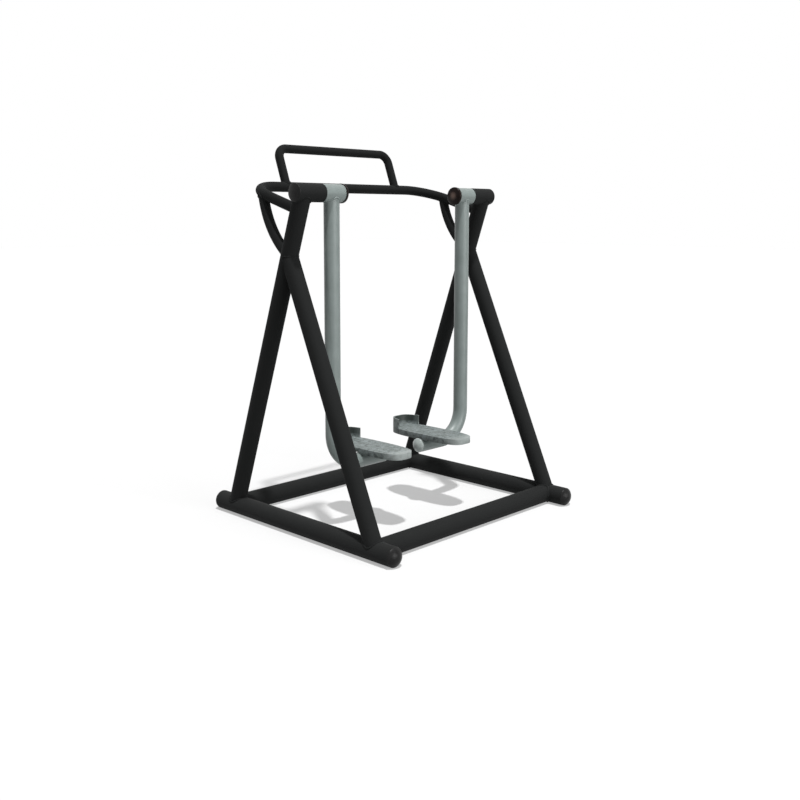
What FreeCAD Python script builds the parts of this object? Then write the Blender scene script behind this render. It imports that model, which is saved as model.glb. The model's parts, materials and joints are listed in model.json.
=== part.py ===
import FreeCAD, Part
import math
import os

# Outdoor air walker: a welded tube frame that carries two foot pedals on swing arms.
# Each arm hangs from ball bearings on a fixed axle at hip height and swings by itself.
# All sizes are in millimetres. The origin is on the ground in the middle of the base,
# X points to the user's right, Y points forward to the handlebar and Z points up.

# Base: two side rails joined by two cross tubes, which lie inside the ends of the rails
RAIL_X = 485.0
RAIL_RADIUS = 35.0
RAIL_LENGTH = 940.0
CROSS_RADIUS = 35.0
CROSS_INSET = 89.0
BASE_WALL = 3.0

# Side frames: a front leg that leans back to the pivot and a rear leg that meets it
LEG_RADIUS = 31.75
LEG_WALL = 3.0
CROSSING_DROP = 220.0

# Swing axis, and the fixed sleeve on top of each front leg
PIVOT_Y = -32.0
PIVOT_Z = 1220.0
SLEEVE_RADIUS = 32.5
SLEEVE_WALL = 5.0
SLEEVE_OUTBOARD = 37.0
SLEEVE_INBOARD = 82.0

# Handlebar, measured from the swing axis
BAR_RADIUS = 19.0
BAR_WALL = 2.5
BAR_REACH = 319.0
BAR_RISE = 29.5
BAR_BEND = 135.0
BAR_END_DROP = 60.0

# Curved braces between the handlebar and the crossing of the legs
BRACE_RADIUS = 19.0
BRACE_WALL = 2.5
BRACE_BEND = 326.0
BRACE_SETBACK = 101.0

# Upper handle, measured from the handlebar
HANDLE_RADIUS = 16.85
HANDLE_WALL = 2.5
HANDLE_HALF_WIDTH = 294.0
HANDLE_RISE = 147.0
HANDLE_LEAN = 54.0
HANDLE_BEND = 40.0

# Bearing housing at the top of each swing arm
HOUSING_RADIUS = 32.5
HOUSING_LENGTH = 90.0
HOUSING_GAP = 2.0
ARM_INSET = 47.0

# Ball bearings, two in each housing
BEARING_BORE = 15.0
BEARING_RADIUS = 27.5
BEARING_WIDTH = 13.0
BEARING_RECESS_INBOARD = 14.0
BEARING_RECESS_OUTBOARD = 15.0
BEARING_SHOULDER = 2.5
RACE_WALL = 4.2
BALL_RADIUS = 4.0
BALL_COUNT = 9

# Fixed axle with its collar, discs, spacer, washer and nut
AXLE_END_INSET = 20.0
COLLAR_HEIGHT = 3.0
THREAD_RADIUS = 12.0
THREAD_STICKOUT = 3.0
DISC_THICKNESS = 8.0
DISC_INSET = 2.0
OUTER_DISC_INSET = 32.0
SPACER_WALL = 4.0
WASHER_RADIUS = 20.0
WASHER_THICKNESS = 3.0
NUT_FLATS = 36.0
NUT_HEIGHT = 12.0

# Swing stop: a fixed pin above the axle's collar, in an open ring that turns with the housing
SWING_LIMIT = 60.0
STOP_PIN_RADIUS = 3.0
STOP_RING_GAP = 2.0
STOP_RING_WIDTH = 10.0
STOP_RING_INSET = 3.0
STOP_CLEARANCE = 0.3

# Swing arm: one bent tube, whose lower end runs inboard past the middle of the pedal
ARM_RADIUS = 28.5
ARM_WALL = 3.5
ARM_BEND = 117.0
STUB_REACH = 67.5

# Pedal: a ribbed tray with rounded ends, a studded top and a raised toe guard.
# Its outboard edge ends just before the arm's bend, and its skirt is notched for the stub.
BEND_GAP = 2.5
PEDAL_Y = -37.0
PEDAL_HALF_LENGTH = 184.0
PEDAL_HALF_WIDTH = 67.0
PEDAL_ROUNDNESS = 3.2
PEDAL_TOP_Z = 283.5
PEDAL_DEPTH = 22.5
PEDAL_SKIN = 5.0
PEDAL_WALL = 4.5
GUARD_HEIGHT = 38.0
GUARD_WALL = 5.0
GUARD_LENGTH = 63.0
RIB_THICKNESS = 3.0
RIB_HEIGHT = 7.9
RIB_PITCH = 60.0
RIB_COUNT = 5
STUD_RADIUS = 3.5
STUD_HEIGHT = 1.0
STUD_PITCH_X = 20.0
STUD_PITCH_Y = 22.0
STUD_MARGIN = 12.0

# Pedal bracket: a plate with a saddle that is welded on the stub, and its bolts
PLATE_LENGTH = 190.0
PLATE_WIDTH = 96.0
PLATE_THICKNESS = 6.0
SADDLE_LENGTH = 84.0
SADDLE_WIDTH = 46.0
SADDLE_DROP = 10.0
BOLT_SPACING_X = 60.0
BOLT_SPACING_Y = 150.0
BOLT_RADIUS = 4.0
BOLT_ENGAGEMENT = 9.5
BOLT_HEAD_FLATS = 13.0
BOLT_HEAD_HEIGHT = 5.3
BOSS_RADIUS = 9.0
BOLT_WASHER_RADIUS = 8.0
BOLT_WASHER_THICKNESS = 1.6

# Plastic end caps: thickness of the flange, rise of the dome and length of the spigot
RAIL_CAP = {"flange": 2.5, "rise": 18.0, "spigot": 20.0}
SLEEVE_CAP = {"flange": 2.0, "rise": 5.0, "spigot": 14.0}
STUB_CAP = {"flange": 1.5, "rise": 12.0, "spigot": 16.0}
HUB_CAP = {"flange": 9.0, "rise": 6.0, "spigot": 6.0}
HUB_CAP_OVERHANG = 2.5
HUB_CAP_CAVITY = 10.0
CAP_WALL = 3.0

# Clearances
WELD_GAP = 0.1
SLIDE_FIT = 0.05
NOTCH_GAP = 3.0
BOLT_CLEARANCE = 0.3

SIDES = {"left": -1, "right": 1}
X_AXIS = FreeCAD.Vector(1, 0, 0)
Y_AXIS = FreeCAD.Vector(0, 1, 0)
Z_AXIS = FreeCAD.Vector(0, 0, 1)

# The cross tubes' centre lines, on which the legs stand
CROSS_Y = RAIL_LENGTH / 2 - CROSS_INSET

# Stations along X of one side, from the outboard end to the inboard end
SLEEVE_OUTER_X = RAIL_X + SLEEVE_OUTBOARD
SLEEVE_INNER_X = RAIL_X - SLEEVE_INBOARD
HOUSING_OUTER_X = SLEEVE_INNER_X - HOUSING_GAP
HOUSING_INNER_X = HOUSING_OUTER_X - HOUSING_LENGTH
ARM_X = HOUSING_OUTER_X - ARM_INSET
OUTER_BEARING_X = HOUSING_OUTER_X - BEARING_RECESS_OUTBOARD
INNER_BEARING_X = HOUSING_INNER_X + BEARING_RECESS_INBOARD
BEARING_STARTS = (OUTER_BEARING_X - BEARING_WIDTH, INNER_BEARING_X)
INNER_DISC_X = SLEEVE_INNER_X + DISC_INSET
PEDAL_X = ARM_X - ARM_BEND - BEND_GAP - PEDAL_HALF_WIDTH
STUB_END_X = PEDAL_X - STUB_REACH

# Radii round the axle: its collar, the stop pin's place and the stop ring's bore
COLLAR_RADIUS = BEARING_BORE + COLLAR_HEIGHT
STOP_PIN_ORBIT = (COLLAR_RADIUS + BEARING_RADIUS) / 2
STOP_RING_BORE = COLLAR_RADIUS + STOP_RING_GAP

# Heights from the pedal's top down to the arm's lower end
TRAY_ROOF_Z = PEDAL_TOP_Z - PEDAL_SKIN
PLATE_TOP_Z = TRAY_ROOF_Z - RIB_HEIGHT
PLATE_BOTTOM_Z = PLATE_TOP_Z - PLATE_THICKNESS
STUB_Z = PLATE_BOTTOM_Z - WELD_GAP - ARM_RADIUS


def front_leg_y(z):
    """Y of the front leg's centre line at height z."""
    share = (z - RAIL_RADIUS) / (PIVOT_Z - RAIL_RADIUS)
    return CROSS_Y + share * (PIVOT_Y - CROSS_Y)


def point(side, x, y, z):
    """A point given by its distance from the middle plane, on the side given by its sign."""
    return FreeCAD.Vector(side * x, y, z)


def rod(start, end, radius):
    """A solid cylinder from start to end."""
    run = end - start
    return Part.makeCylinder(radius, run.Length, start, run)


def pipe(start, end, radius, wall):
    """A straight tube from start to end."""
    overrun = (end - start).normalize() * wall
    return rod(start, end, radius).cut(rod(start - overrun, end + overrun, radius - wall))


def rounded_path(points, bend):
    """Straight runs through the points, with a tangent arc of radius bend at each corner."""
    edges = []
    start = points[0]
    for before, corner, after in zip(points, points[1:], points[2:]):
        back = (before - corner).normalize()
        ahead = (after - corner).normalize()
        half_angle = back.getAngle(ahead) / 2
        setback = bend / math.tan(half_angle)
        first = corner + back * setback
        last = corner + ahead * setback
        inward = (back + ahead).normalize()
        middle = corner + inward * (bend / math.sin(half_angle) - bend)
        edges.append(Part.LineSegment(start, first).toShape())
        edges.append(Part.Arc(first, middle, last).toShape())
        start = last
    edges.append(Part.LineSegment(start, points[-1]).toShape())
    return Part.Wire(edges)


def swept_rod(path, radius):
    """A solid round bar along a path of lines and tangent arcs."""
    first = path.OrderedEdges[0]
    start = first.valueAt(first.FirstParameter)
    heading = first.tangentAt(first.FirstParameter)
    section = Part.Wire(Part.Circle(start, heading, radius).toShape())
    return path.makePipeShell([section], True, False)


def swept_pipe(path, radius, wall):
    """A tube along a path of lines and tangent arcs."""
    return swept_rod(path, radius).cut(swept_rod(path, radius - wall))


def hexagon(base, axis, flats, height):
    """A hexagonal prism that rises along the axis from its base point."""
    reach = flats / math.sqrt(3)
    spot = FreeCAD.Rotation(Z_AXIS, axis)
    corners = []
    for step in range(7):
        angle = math.radians(60 * step)
        corner = FreeCAD.Vector(reach * math.cos(angle), reach * math.sin(angle), 0)
        corners.append(base + spot.multVec(corner))
    return Part.Face(Part.makePolygon(corners)).extrude(axis * height)


def domed_cap(base, axis, radius, sizes, bore, cavity):
    """A plastic cap: a hollow spigot in a bore, a flange and a shallow dome."""
    flange = sizes["flange"]
    rise = sizes["rise"]
    spigot = sizes["spigot"]
    spigot_radius = bore - SLIDE_FIT
    sphere = (radius ** 2 + rise ** 2) / (2 * rise)
    half_way = radius / 2
    half_rise = rise - sphere + math.sqrt(sphere ** 2 - half_way ** 2)
    bottom = FreeCAD.Vector(0, 0, -spigot)
    corners = [
        bottom,
        FreeCAD.Vector(spigot_radius, 0, -spigot),
        FreeCAD.Vector(spigot_radius, 0, 0),
        FreeCAD.Vector(radius, 0, 0),
        FreeCAD.Vector(radius, 0, flange),
    ]
    apex = FreeCAD.Vector(0, 0, flange + rise)
    crown = FreeCAD.Vector(half_way, 0, flange + half_rise)
    edges = [Part.LineSegment(a, b).toShape() for a, b in zip(corners, corners[1:])]
    edges.append(Part.Arc(corners[-1], crown, apex).toShape())
    edges.append(Part.LineSegment(apex, bottom).toShape())
    cap = Part.Face(Part.Wire(edges)).revolve(FreeCAD.Vector(), Z_AXIS, 360)
    hollow = Part.makeCylinder(spigot_radius - CAP_WALL, spigot + cavity, bottom)
    cap = cap.cut(hollow)
    cap.Placement = FreeCAD.Placement(base, FreeCAD.Rotation(Z_AXIS, axis))
    return cap


def on_pivot(side, x):
    """A point on the swing axis."""
    return point(side, x, PIVOT_Y, PIVOT_Z)


def pivot_rod(side, start_x, end_x, radius):
    """A solid cylinder on the swing axis."""
    return rod(on_pivot(side, start_x), on_pivot(side, end_x), radius)


def pivot_ring(side, start_x, end_x, radius, bore):
    """A plain ring on the swing axis."""
    return pipe(on_pivot(side, start_x), on_pivot(side, end_x), radius, radius - bore)


def rail_rod(side, extra=0.0):
    """The outer cylinder of a side rail."""
    start = point(side, RAIL_X, -RAIL_LENGTH / 2, RAIL_RADIUS)
    end = point(side, RAIL_X, RAIL_LENGTH / 2, RAIL_RADIUS)
    return rod(start, end, RAIL_RADIUS + extra)


def cross_rod(y, extra=0.0):
    """The outer cylinder of a cross tube, between the centres of the rails."""
    start = point(-1, RAIL_X, y, CROSS_RADIUS)
    end = point(1, RAIL_X, y, CROSS_RADIUS)
    return rod(start, end, CROSS_RADIUS + extra)


def front_leg_ends(side):
    """The centre points of the front leg, in its rail and on the swing axis."""
    return point(side, RAIL_X, CROSS_Y, RAIL_RADIUS), on_pivot(side, RAIL_X)


def crossing(side):
    """The point where the rear leg and the brace meet the front leg."""
    z = PIVOT_Z - CROSSING_DROP
    return point(side, RAIL_X, front_leg_y(z), z)


def handlebar_corners():
    """The corner points of the handlebar's centre line, from the left leg to the right."""
    end_z = PIVOT_Z - BAR_END_DROP
    bar_y = PIVOT_Y + BAR_REACH
    bar_z = PIVOT_Z + BAR_RISE
    return [
        point(-1, RAIL_X, front_leg_y(end_z), end_z),
        point(-1, RAIL_X, bar_y, bar_z),
        point(1, RAIL_X, bar_y, bar_z),
        point(1, RAIL_X, front_leg_y(end_z), end_z),
    ]


def handlebar_rod(extra=0.0):
    """The outside of the handlebar as a solid bar, up to the centre lines of the legs."""
    return swept_rod(rounded_path(handlebar_corners(), BAR_BEND), BAR_RADIUS + extra)


def side_arm_point(side, setback):
    """The point of a side arm's centre line that lies this far behind the bar."""
    corners = handlebar_corners()
    run = corners[0] - corners[1]
    spot = corners[1] + run * (setback / abs(run.y))
    return point(side, RAIL_X, spot.y, spot.z)


def make_rail(side):
    start = point(side, RAIL_X, -RAIL_LENGTH / 2, RAIL_RADIUS)
    end = point(side, RAIL_X, RAIL_LENGTH / 2, RAIL_RADIUS)
    return pipe(start, end, RAIL_RADIUS, BASE_WALL)


def make_rail_cap(side, end):
    base = point(side, RAIL_X, end * RAIL_LENGTH / 2, RAIL_RADIUS)
    return domed_cap(base, Y_AXIS * end, RAIL_RADIUS, RAIL_CAP, RAIL_RADIUS - BASE_WALL, 0)


def make_cross_tube(y):
    start = point(-1, RAIL_X, y, CROSS_RADIUS)
    end = point(1, RAIL_X, y, CROSS_RADIUS)
    tube = pipe(start, end, CROSS_RADIUS, BASE_WALL)
    return tube.cut(rail_rod(-1, WELD_GAP)).cut(rail_rod(1, WELD_GAP))


def make_front_leg(side):
    foot, top = front_leg_ends(side)
    tube = pipe(foot, top, LEG_RADIUS, LEG_WALL)
    sleeve = pivot_rod(side, SLEEVE_INNER_X, SLEEVE_OUTER_X, SLEEVE_RADIUS + WELD_GAP)
    tube = tube.cut(rail_rod(side, WELD_GAP))
    return tube.cut(cross_rod(CROSS_Y, WELD_GAP)).cut(sleeve)


def make_rear_leg(side):
    foot = point(side, RAIL_X, -CROSS_Y, RAIL_RADIUS)
    tube = pipe(foot, crossing(side), LEG_RADIUS, LEG_WALL)
    tube = tube.cut(rail_rod(side, WELD_GAP)).cut(cross_rod(-CROSS_Y, WELD_GAP))
    return tube.cut(rod(*front_leg_ends(side), LEG_RADIUS + WELD_GAP))


def make_pivot_sleeve(side):
    bore = SLEEVE_RADIUS - SLEEVE_WALL
    return pivot_ring(side, SLEEVE_INNER_X, SLEEVE_OUTER_X, SLEEVE_RADIUS, bore)


def make_sleeve_cap(side):
    base = on_pivot(side, SLEEVE_OUTER_X)
    bore = SLEEVE_RADIUS - SLEEVE_WALL
    return domed_cap(base, X_AXIS * side, SLEEVE_RADIUS, SLEEVE_CAP, bore, 0)


def make_handlebar():
    bar = swept_pipe(rounded_path(handlebar_corners(), BAR_BEND), BAR_RADIUS, BAR_WALL)
    for side in SIDES.values():
        bar = bar.cut(rod(*front_leg_ends(side), LEG_RADIUS + WELD_GAP))
    return bar


def make_brace(side):
    """A brace bent to one arc, from the side of the handlebar to the crossing of the legs."""
    top = side_arm_point(side, BRACE_SETBACK)
    foot = crossing(side)
    chord = foot - top
    sagitta = BRACE_BEND - math.sqrt(BRACE_BEND ** 2 - (chord.Length / 2) ** 2)
    outward = X_AXIS.cross(chord).normalize()
    middle = top + chord * 0.5 + outward * sagitta
    path = Part.Wire(Part.Arc(top, middle, foot).toShape())
    tube = swept_pipe(path, BRACE_RADIUS, BRACE_WALL)
    tube = tube.cut(handlebar_rod(WELD_GAP))
    return tube.cut(rod(*front_leg_ends(side), LEG_RADIUS + WELD_GAP))


def make_upper_handle():
    bar = handlebar_corners()[1]
    top_y = bar.y + HANDLE_LEAN
    top_z = bar.z + HANDLE_RISE
    corners = [
        point(-1, HANDLE_HALF_WIDTH, bar.y, bar.z),
        point(-1, HANDLE_HALF_WIDTH, top_y, top_z),
        point(1, HANDLE_HALF_WIDTH, top_y, top_z),
        point(1, HANDLE_HALF_WIDTH, bar.y, bar.z),
    ]
    handle = swept_pipe(rounded_path(corners, HANDLE_BEND), HANDLE_RADIUS, HANDLE_WALL)
    return handle.cut(handlebar_rod(WELD_GAP))


def make_axle(side):
    """The fixed axle, from its threaded inboard end to its end inside the sleeve."""
    seat = BEARING_BORE - SLIDE_FIT
    thread_end = INNER_BEARING_X - WASHER_THICKNESS - NUT_HEIGHT - THREAD_STICKOUT
    body = pivot_rod(side, INNER_BEARING_X, SLEEVE_OUTER_X - AXLE_END_INSET, seat)
    thread = pivot_rod(side, thread_end, INNER_BEARING_X, THREAD_RADIUS)
    collar = pivot_rod(side, OUTER_BEARING_X, INNER_DISC_X, COLLAR_RADIUS)
    return body.fuse([thread, collar]).removeSplitter()


def stop_pin_rod(side, start_x, end_x, extra=0.0):
    """The stop pin's cylinder, straight above the axle."""
    start = point(side, start_x, PIVOT_Y, PIVOT_Z + STOP_PIN_ORBIT)
    end = point(side, end_x, PIVOT_Y, PIVOT_Z + STOP_PIN_ORBIT)
    return rod(start, end, STOP_PIN_RADIUS + extra)


def make_axle_disc(side, start_x):
    """A disc that holds the axle in the middle of the sleeve."""
    end_x = start_x + DISC_THICKNESS
    return pivot_ring(side, start_x, end_x, SLEEVE_RADIUS - SLEEVE_WALL - SLIDE_FIT, BEARING_BORE)


def make_inner_disc(side):
    end_x = INNER_DISC_X + DISC_THICKNESS
    hole = stop_pin_rod(side, INNER_DISC_X, end_x, SLIDE_FIT)
    return make_axle_disc(side, INNER_DISC_X).cut(hole)


def make_outer_disc(side):
    return make_axle_disc(side, SLEEVE_OUTER_X - OUTER_DISC_INSET - DISC_THICKNESS)


def make_stop_pin(side):
    start_x = HOUSING_OUTER_X - STOP_RING_INSET - STOP_RING_WIDTH
    return stop_pin_rod(side, start_x, INNER_DISC_X + DISC_THICKNESS)


def make_stop_ring(side):
    """An open ring whose two ends meet the stop pin at the limits of the swing."""
    end_x = HOUSING_OUTER_X - STOP_RING_INSET
    start_x = end_x - STOP_RING_WIDTH
    ring = pivot_ring(side, start_x, end_x, BEARING_RADIUS - SLIDE_FIT, STOP_RING_BORE)
    pin_angle = math.degrees(math.asin((STOP_PIN_RADIUS + STOP_CLEARANCE) / STOP_PIN_ORBIT))
    half_gap = SWING_LIMIT + pin_angle
    gap = Part.makeCylinder(
        HOUSING_RADIUS, STOP_RING_WIDTH, point(1, side * start_x, PIVOT_Y, PIVOT_Z),
        X_AXIS * side, 2 * half_gap,
    )
    seam = gap.CenterOfMass - on_pivot(side, start_x + STOP_RING_WIDTH / 2)
    turn = math.degrees(math.atan2(seam.y, seam.z))
    gap.rotate(on_pivot(side, 0), X_AXIS, turn)
    return ring.cut(gap)


def groove(side, start_x):
    """The ring-shaped space that the balls of one bearing run in."""
    centre = on_pivot(side, start_x + BEARING_WIDTH / 2)
    orbit = (BEARING_BORE + BEARING_RADIUS) / 2
    return Part.makeTorus(orbit, BALL_RADIUS + SLIDE_FIT, centre, X_AXIS)


def make_inner_rings(side):
    rings = []
    for start_x in BEARING_STARTS:
        end_x = start_x + BEARING_WIDTH
        ring = pivot_ring(side, start_x, end_x, BEARING_BORE + RACE_WALL, BEARING_BORE)
        rings.append(ring.cut(groove(side, start_x)))
    return Part.makeCompound(rings)


def make_outer_rings(side):
    rings = []
    for start_x in BEARING_STARTS:
        end_x = start_x + BEARING_WIDTH
        outer = BEARING_RADIUS - SLIDE_FIT
        ring = pivot_ring(side, start_x, end_x, outer, BEARING_RADIUS - RACE_WALL)
        rings.append(ring.cut(groove(side, start_x)))
    return Part.makeCompound(rings)


def make_balls(side):
    orbit = (BEARING_BORE + BEARING_RADIUS) / 2
    balls = []
    for start_x in BEARING_STARTS:
        for step in range(BALL_COUNT):
            angle = 2 * math.pi * step / BALL_COUNT
            y = PIVOT_Y + orbit * math.sin(angle)
            z = PIVOT_Z + orbit * math.cos(angle)
            centre = point(side, start_x + BEARING_WIDTH / 2, y, z)
            balls.append(Part.makeSphere(BALL_RADIUS, centre))
    return Part.makeCompound(balls)


def make_spacer(side):
    """The tube that holds the two inner rings apart."""
    start_x = INNER_BEARING_X + BEARING_WIDTH
    end_x = OUTER_BEARING_X - BEARING_WIDTH
    return pivot_ring(side, start_x, end_x, BEARING_BORE + SPACER_WALL, BEARING_BORE)


def make_axle_washer(side):
    start_x = INNER_BEARING_X - WASHER_THICKNESS
    return pivot_ring(side, start_x, INNER_BEARING_X, WASHER_RADIUS, THREAD_RADIUS + SLIDE_FIT)


def make_axle_nut(side):
    end_x = INNER_BEARING_X - WASHER_THICKNESS
    start_x = end_x - NUT_HEIGHT
    nut = hexagon(on_pivot(side, start_x), X_AXIS * side, NUT_FLATS, NUT_HEIGHT)
    return nut.cut(pivot_rod(side, start_x, end_x, THREAD_RADIUS + SLIDE_FIT))


def make_housing(side):
    """The tube on top of a swing arm, bored for its bearings from both ends."""
    seat = BEARING_RADIUS
    land = seat - BEARING_SHOULDER
    body = pivot_ring(side, HOUSING_INNER_X, HOUSING_OUTER_X, HOUSING_RADIUS, land)
    inboard = pivot_rod(side, HOUSING_INNER_X, INNER_BEARING_X + BEARING_WIDTH, seat)
    outboard = pivot_rod(side, OUTER_BEARING_X - BEARING_WIDTH, HOUSING_OUTER_X, seat)
    return body.cut(inboard).cut(outboard)


def make_hub_cap(side):
    base = on_pivot(side, HOUSING_INNER_X)
    radius = HOUSING_RADIUS + HUB_CAP_OVERHANG
    return domed_cap(base, X_AXIS * -side, radius, HUB_CAP, BEARING_RADIUS, HUB_CAP_CAVITY)


def make_swing_arm(side):
    corners = [
        on_pivot(side, ARM_X),
        point(side, ARM_X, PIVOT_Y, STUB_Z),
        point(side, STUB_END_X, PIVOT_Y, STUB_Z),
    ]
    arm = swept_pipe(rounded_path(corners, ARM_BEND), ARM_RADIUS, ARM_WALL)
    return arm.cut(pivot_rod(side, HOUSING_INNER_X, HOUSING_OUTER_X, HOUSING_RADIUS + WELD_GAP))


def make_stub_cap(side):
    base = point(side, STUB_END_X, PIVOT_Y, STUB_Z)
    return domed_cap(base, X_AXIS * -side, ARM_RADIUS, STUB_CAP, ARM_RADIUS - ARM_WALL, 0)


def bolt_spots(side):
    """The centres of the four pedal bolts, as x and y."""
    spots = []
    for along in (-0.5, 0.5):
        for across in (-0.5, 0.5):
            x = side * PEDAL_X + across * BOLT_SPACING_X
            spots.append((x, PEDAL_Y + along * BOLT_SPACING_Y))
    return spots


def bolt_rods(side, start_z, end_z, radius):
    """Four upright cylinders at the bolts."""
    rods = []
    for x, y in bolt_spots(side):
        rods.append(rod(FreeCAD.Vector(x, y, start_z), FreeCAD.Vector(x, y, end_z), radius))
    return rods


def centred_box(side, y, length, width, start_z, end_z):
    """A box centred on the pedal in X, and on y."""
    corner = FreeCAD.Vector(side * PEDAL_X - width / 2, y - length / 2, start_z)
    return Part.makeBox(width, length, end_z - start_z, corner)


def stub_rod(side, gap):
    """The stub's straight run as a solid cylinder, thicker by a gap."""
    start = point(side, 0, PIVOT_Y, STUB_Z)
    end = point(side, ARM_X, PIVOT_Y, STUB_Z)
    return rod(start, end, ARM_RADIUS + gap)


def make_bracket(side):
    """The pedal's plate, with a saddle that follows the stub below it."""
    plate = centred_box(side, PEDAL_Y, PLATE_LENGTH, PLATE_WIDTH, PLATE_BOTTOM_Z, PLATE_TOP_Z)
    saddle_z = PLATE_BOTTOM_Z - SADDLE_DROP
    saddle = centred_box(side, PIVOT_Y, SADDLE_WIDTH, SADDLE_LENGTH, saddle_z, PLATE_BOTTOM_Z)
    bracket = plate.fuse(saddle).removeSplitter().cut(stub_rod(side, WELD_GAP))
    holes = bolt_rods(side, PLATE_BOTTOM_Z, PLATE_TOP_Z, BOLT_RADIUS + BOLT_CLEARANCE)
    return bracket.cut(holes)


def pedal_outline(side, inset, z):
    """The pedal's outline, drawn in by an inset, as a face at height z."""
    half_width = PEDAL_HALF_WIDTH - inset
    half_length = PEDAL_HALF_LENGTH - inset
    power = 2 / PEDAL_ROUNDNESS
    count = 36
    points = []
    for step in range(count):
        angle = 2 * math.pi * step / count
        across = math.copysign(abs(math.cos(angle)) ** power, math.cos(angle))
        along = math.copysign(abs(math.sin(angle)) ** power, math.sin(angle))
        x = side * PEDAL_X + half_width * across
        points.append(FreeCAD.Vector(x, PEDAL_Y + half_length * along, z))
    curve = Part.BSplineCurve()
    curve.interpolate(points, PeriodicFlag=True)
    return Part.Face(Part.Wire(curve.toShape()))


def pedal_tray(side):
    """The pedal's skin with its skirt."""
    bottom_z = PEDAL_TOP_Z - PEDAL_DEPTH
    body = pedal_outline(side, 0, bottom_z).extrude(Z_AXIS * PEDAL_DEPTH)
    cavity = pedal_outline(side, PEDAL_WALL, bottom_z).extrude(Z_AXIS * (TRAY_ROOF_Z - bottom_z))
    return body.cut(cavity)


def toe_guard(side):
    """The wall that stands round the toe."""
    outer = pedal_outline(side, 0, PEDAL_TOP_Z).extrude(Z_AXIS * GUARD_HEIGHT)
    inner = pedal_outline(side, GUARD_WALL, PEDAL_TOP_Z).extrude(Z_AXIS * GUARD_HEIGHT)
    toe_y = PEDAL_Y + PEDAL_HALF_LENGTH
    corner = FreeCAD.Vector(side * PEDAL_X - PEDAL_HALF_WIDTH, toe_y - GUARD_LENGTH, PEDAL_TOP_Z)
    toe = Part.makeBox(2 * PEDAL_HALF_WIDTH, GUARD_LENGTH + GUARD_WALL, GUARD_HEIGHT, corner)
    return outer.cut(inner).common(toe)


def pedal_ribs(side):
    """Ribs across the underside of the pedal, above the plate."""
    ribs = []
    for index in range(RIB_COUNT):
        y = PEDAL_Y + (index - (RIB_COUNT - 1) / 2) * RIB_PITCH
        ribs.append(centred_box(side, y, RIB_THICKNESS, 2 * PEDAL_HALF_WIDTH, PLATE_TOP_Z, TRAY_ROOF_Z))
    inside = pedal_outline(side, PEDAL_WALL / 2, PLATE_TOP_Z)
    return Part.makeCompound(ribs).common(inside.extrude(Z_AXIS * (TRAY_ROOF_Z - PLATE_TOP_Z)))


def pedal_studs(side):
    """Raised studs in staggered rows over the top of the pedal."""
    rows = int(PEDAL_HALF_LENGTH / STUD_PITCH_Y)
    columns = int(PEDAL_HALF_WIDTH / STUD_PITCH_X) + 1
    reach_x = PEDAL_HALF_WIDTH - STUD_MARGIN
    reach_y = PEDAL_HALF_LENGTH - STUD_MARGIN
    studs = []
    for row in range(-rows, rows + 1):
        shift = 0.5 * (row % 2)
        for column in range(-columns, columns + 1):
            x = (column + shift) * STUD_PITCH_X
            y = row * STUD_PITCH_Y
            edge = abs(x / reach_x) ** PEDAL_ROUNDNESS + abs(y / reach_y) ** PEDAL_ROUNDNESS
            if edge < 1:
                spot = FreeCAD.Vector(side * PEDAL_X + x, PEDAL_Y + y, TRAY_ROOF_Z)
                studs.append(Part.makeCylinder(STUD_RADIUS, PEDAL_SKIN + STUD_HEIGHT, spot))
    return studs


def make_pedal(side):
    bosses = bolt_rods(side, PLATE_TOP_Z, PEDAL_TOP_Z, BOSS_RADIUS)
    pieces = [toe_guard(side), pedal_ribs(side)] + bosses + pedal_studs(side)
    body = pedal_tray(side).fuse(pieces).removeSplitter()
    end_z = PLATE_TOP_Z + BOLT_ENGAGEMENT + BOLT_CLEARANCE
    holes = bolt_rods(side, PLATE_TOP_Z, end_z, BOLT_RADIUS + SLIDE_FIT)
    return body.cut(holes + [stub_rod(side, NOTCH_GAP)])


def make_pedal_washers(side):
    start_z = PLATE_BOTTOM_Z - BOLT_WASHER_THICKNESS
    washers = []
    for x, y in bolt_spots(side):
        start = FreeCAD.Vector(x, y, start_z)
        end = FreeCAD.Vector(x, y, PLATE_BOTTOM_Z)
        wall = BOLT_WASHER_RADIUS - BOLT_RADIUS - BOLT_CLEARANCE
        washers.append(pipe(start, end, BOLT_WASHER_RADIUS, wall))
    return Part.makeCompound(washers)


def make_pedal_bolts(side):
    """Hexagon bolts that go up through the plate into the bosses of the pedal."""
    head_z = PLATE_BOTTOM_Z - BOLT_WASHER_THICKNESS - BOLT_HEAD_HEIGHT
    end_z = PLATE_TOP_Z + BOLT_ENGAGEMENT
    bolts = []
    for (x, y), shank in zip(bolt_spots(side), bolt_rods(side, head_z, end_z, BOLT_RADIUS)):
        head = hexagon(FreeCAD.Vector(x, y, head_z), Z_AXIS, BOLT_HEAD_FLATS, BOLT_HEAD_HEIGHT)
        bolts.append(head.fuse(shank).removeSplitter())
    return Part.makeCompound(bolts)


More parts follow.
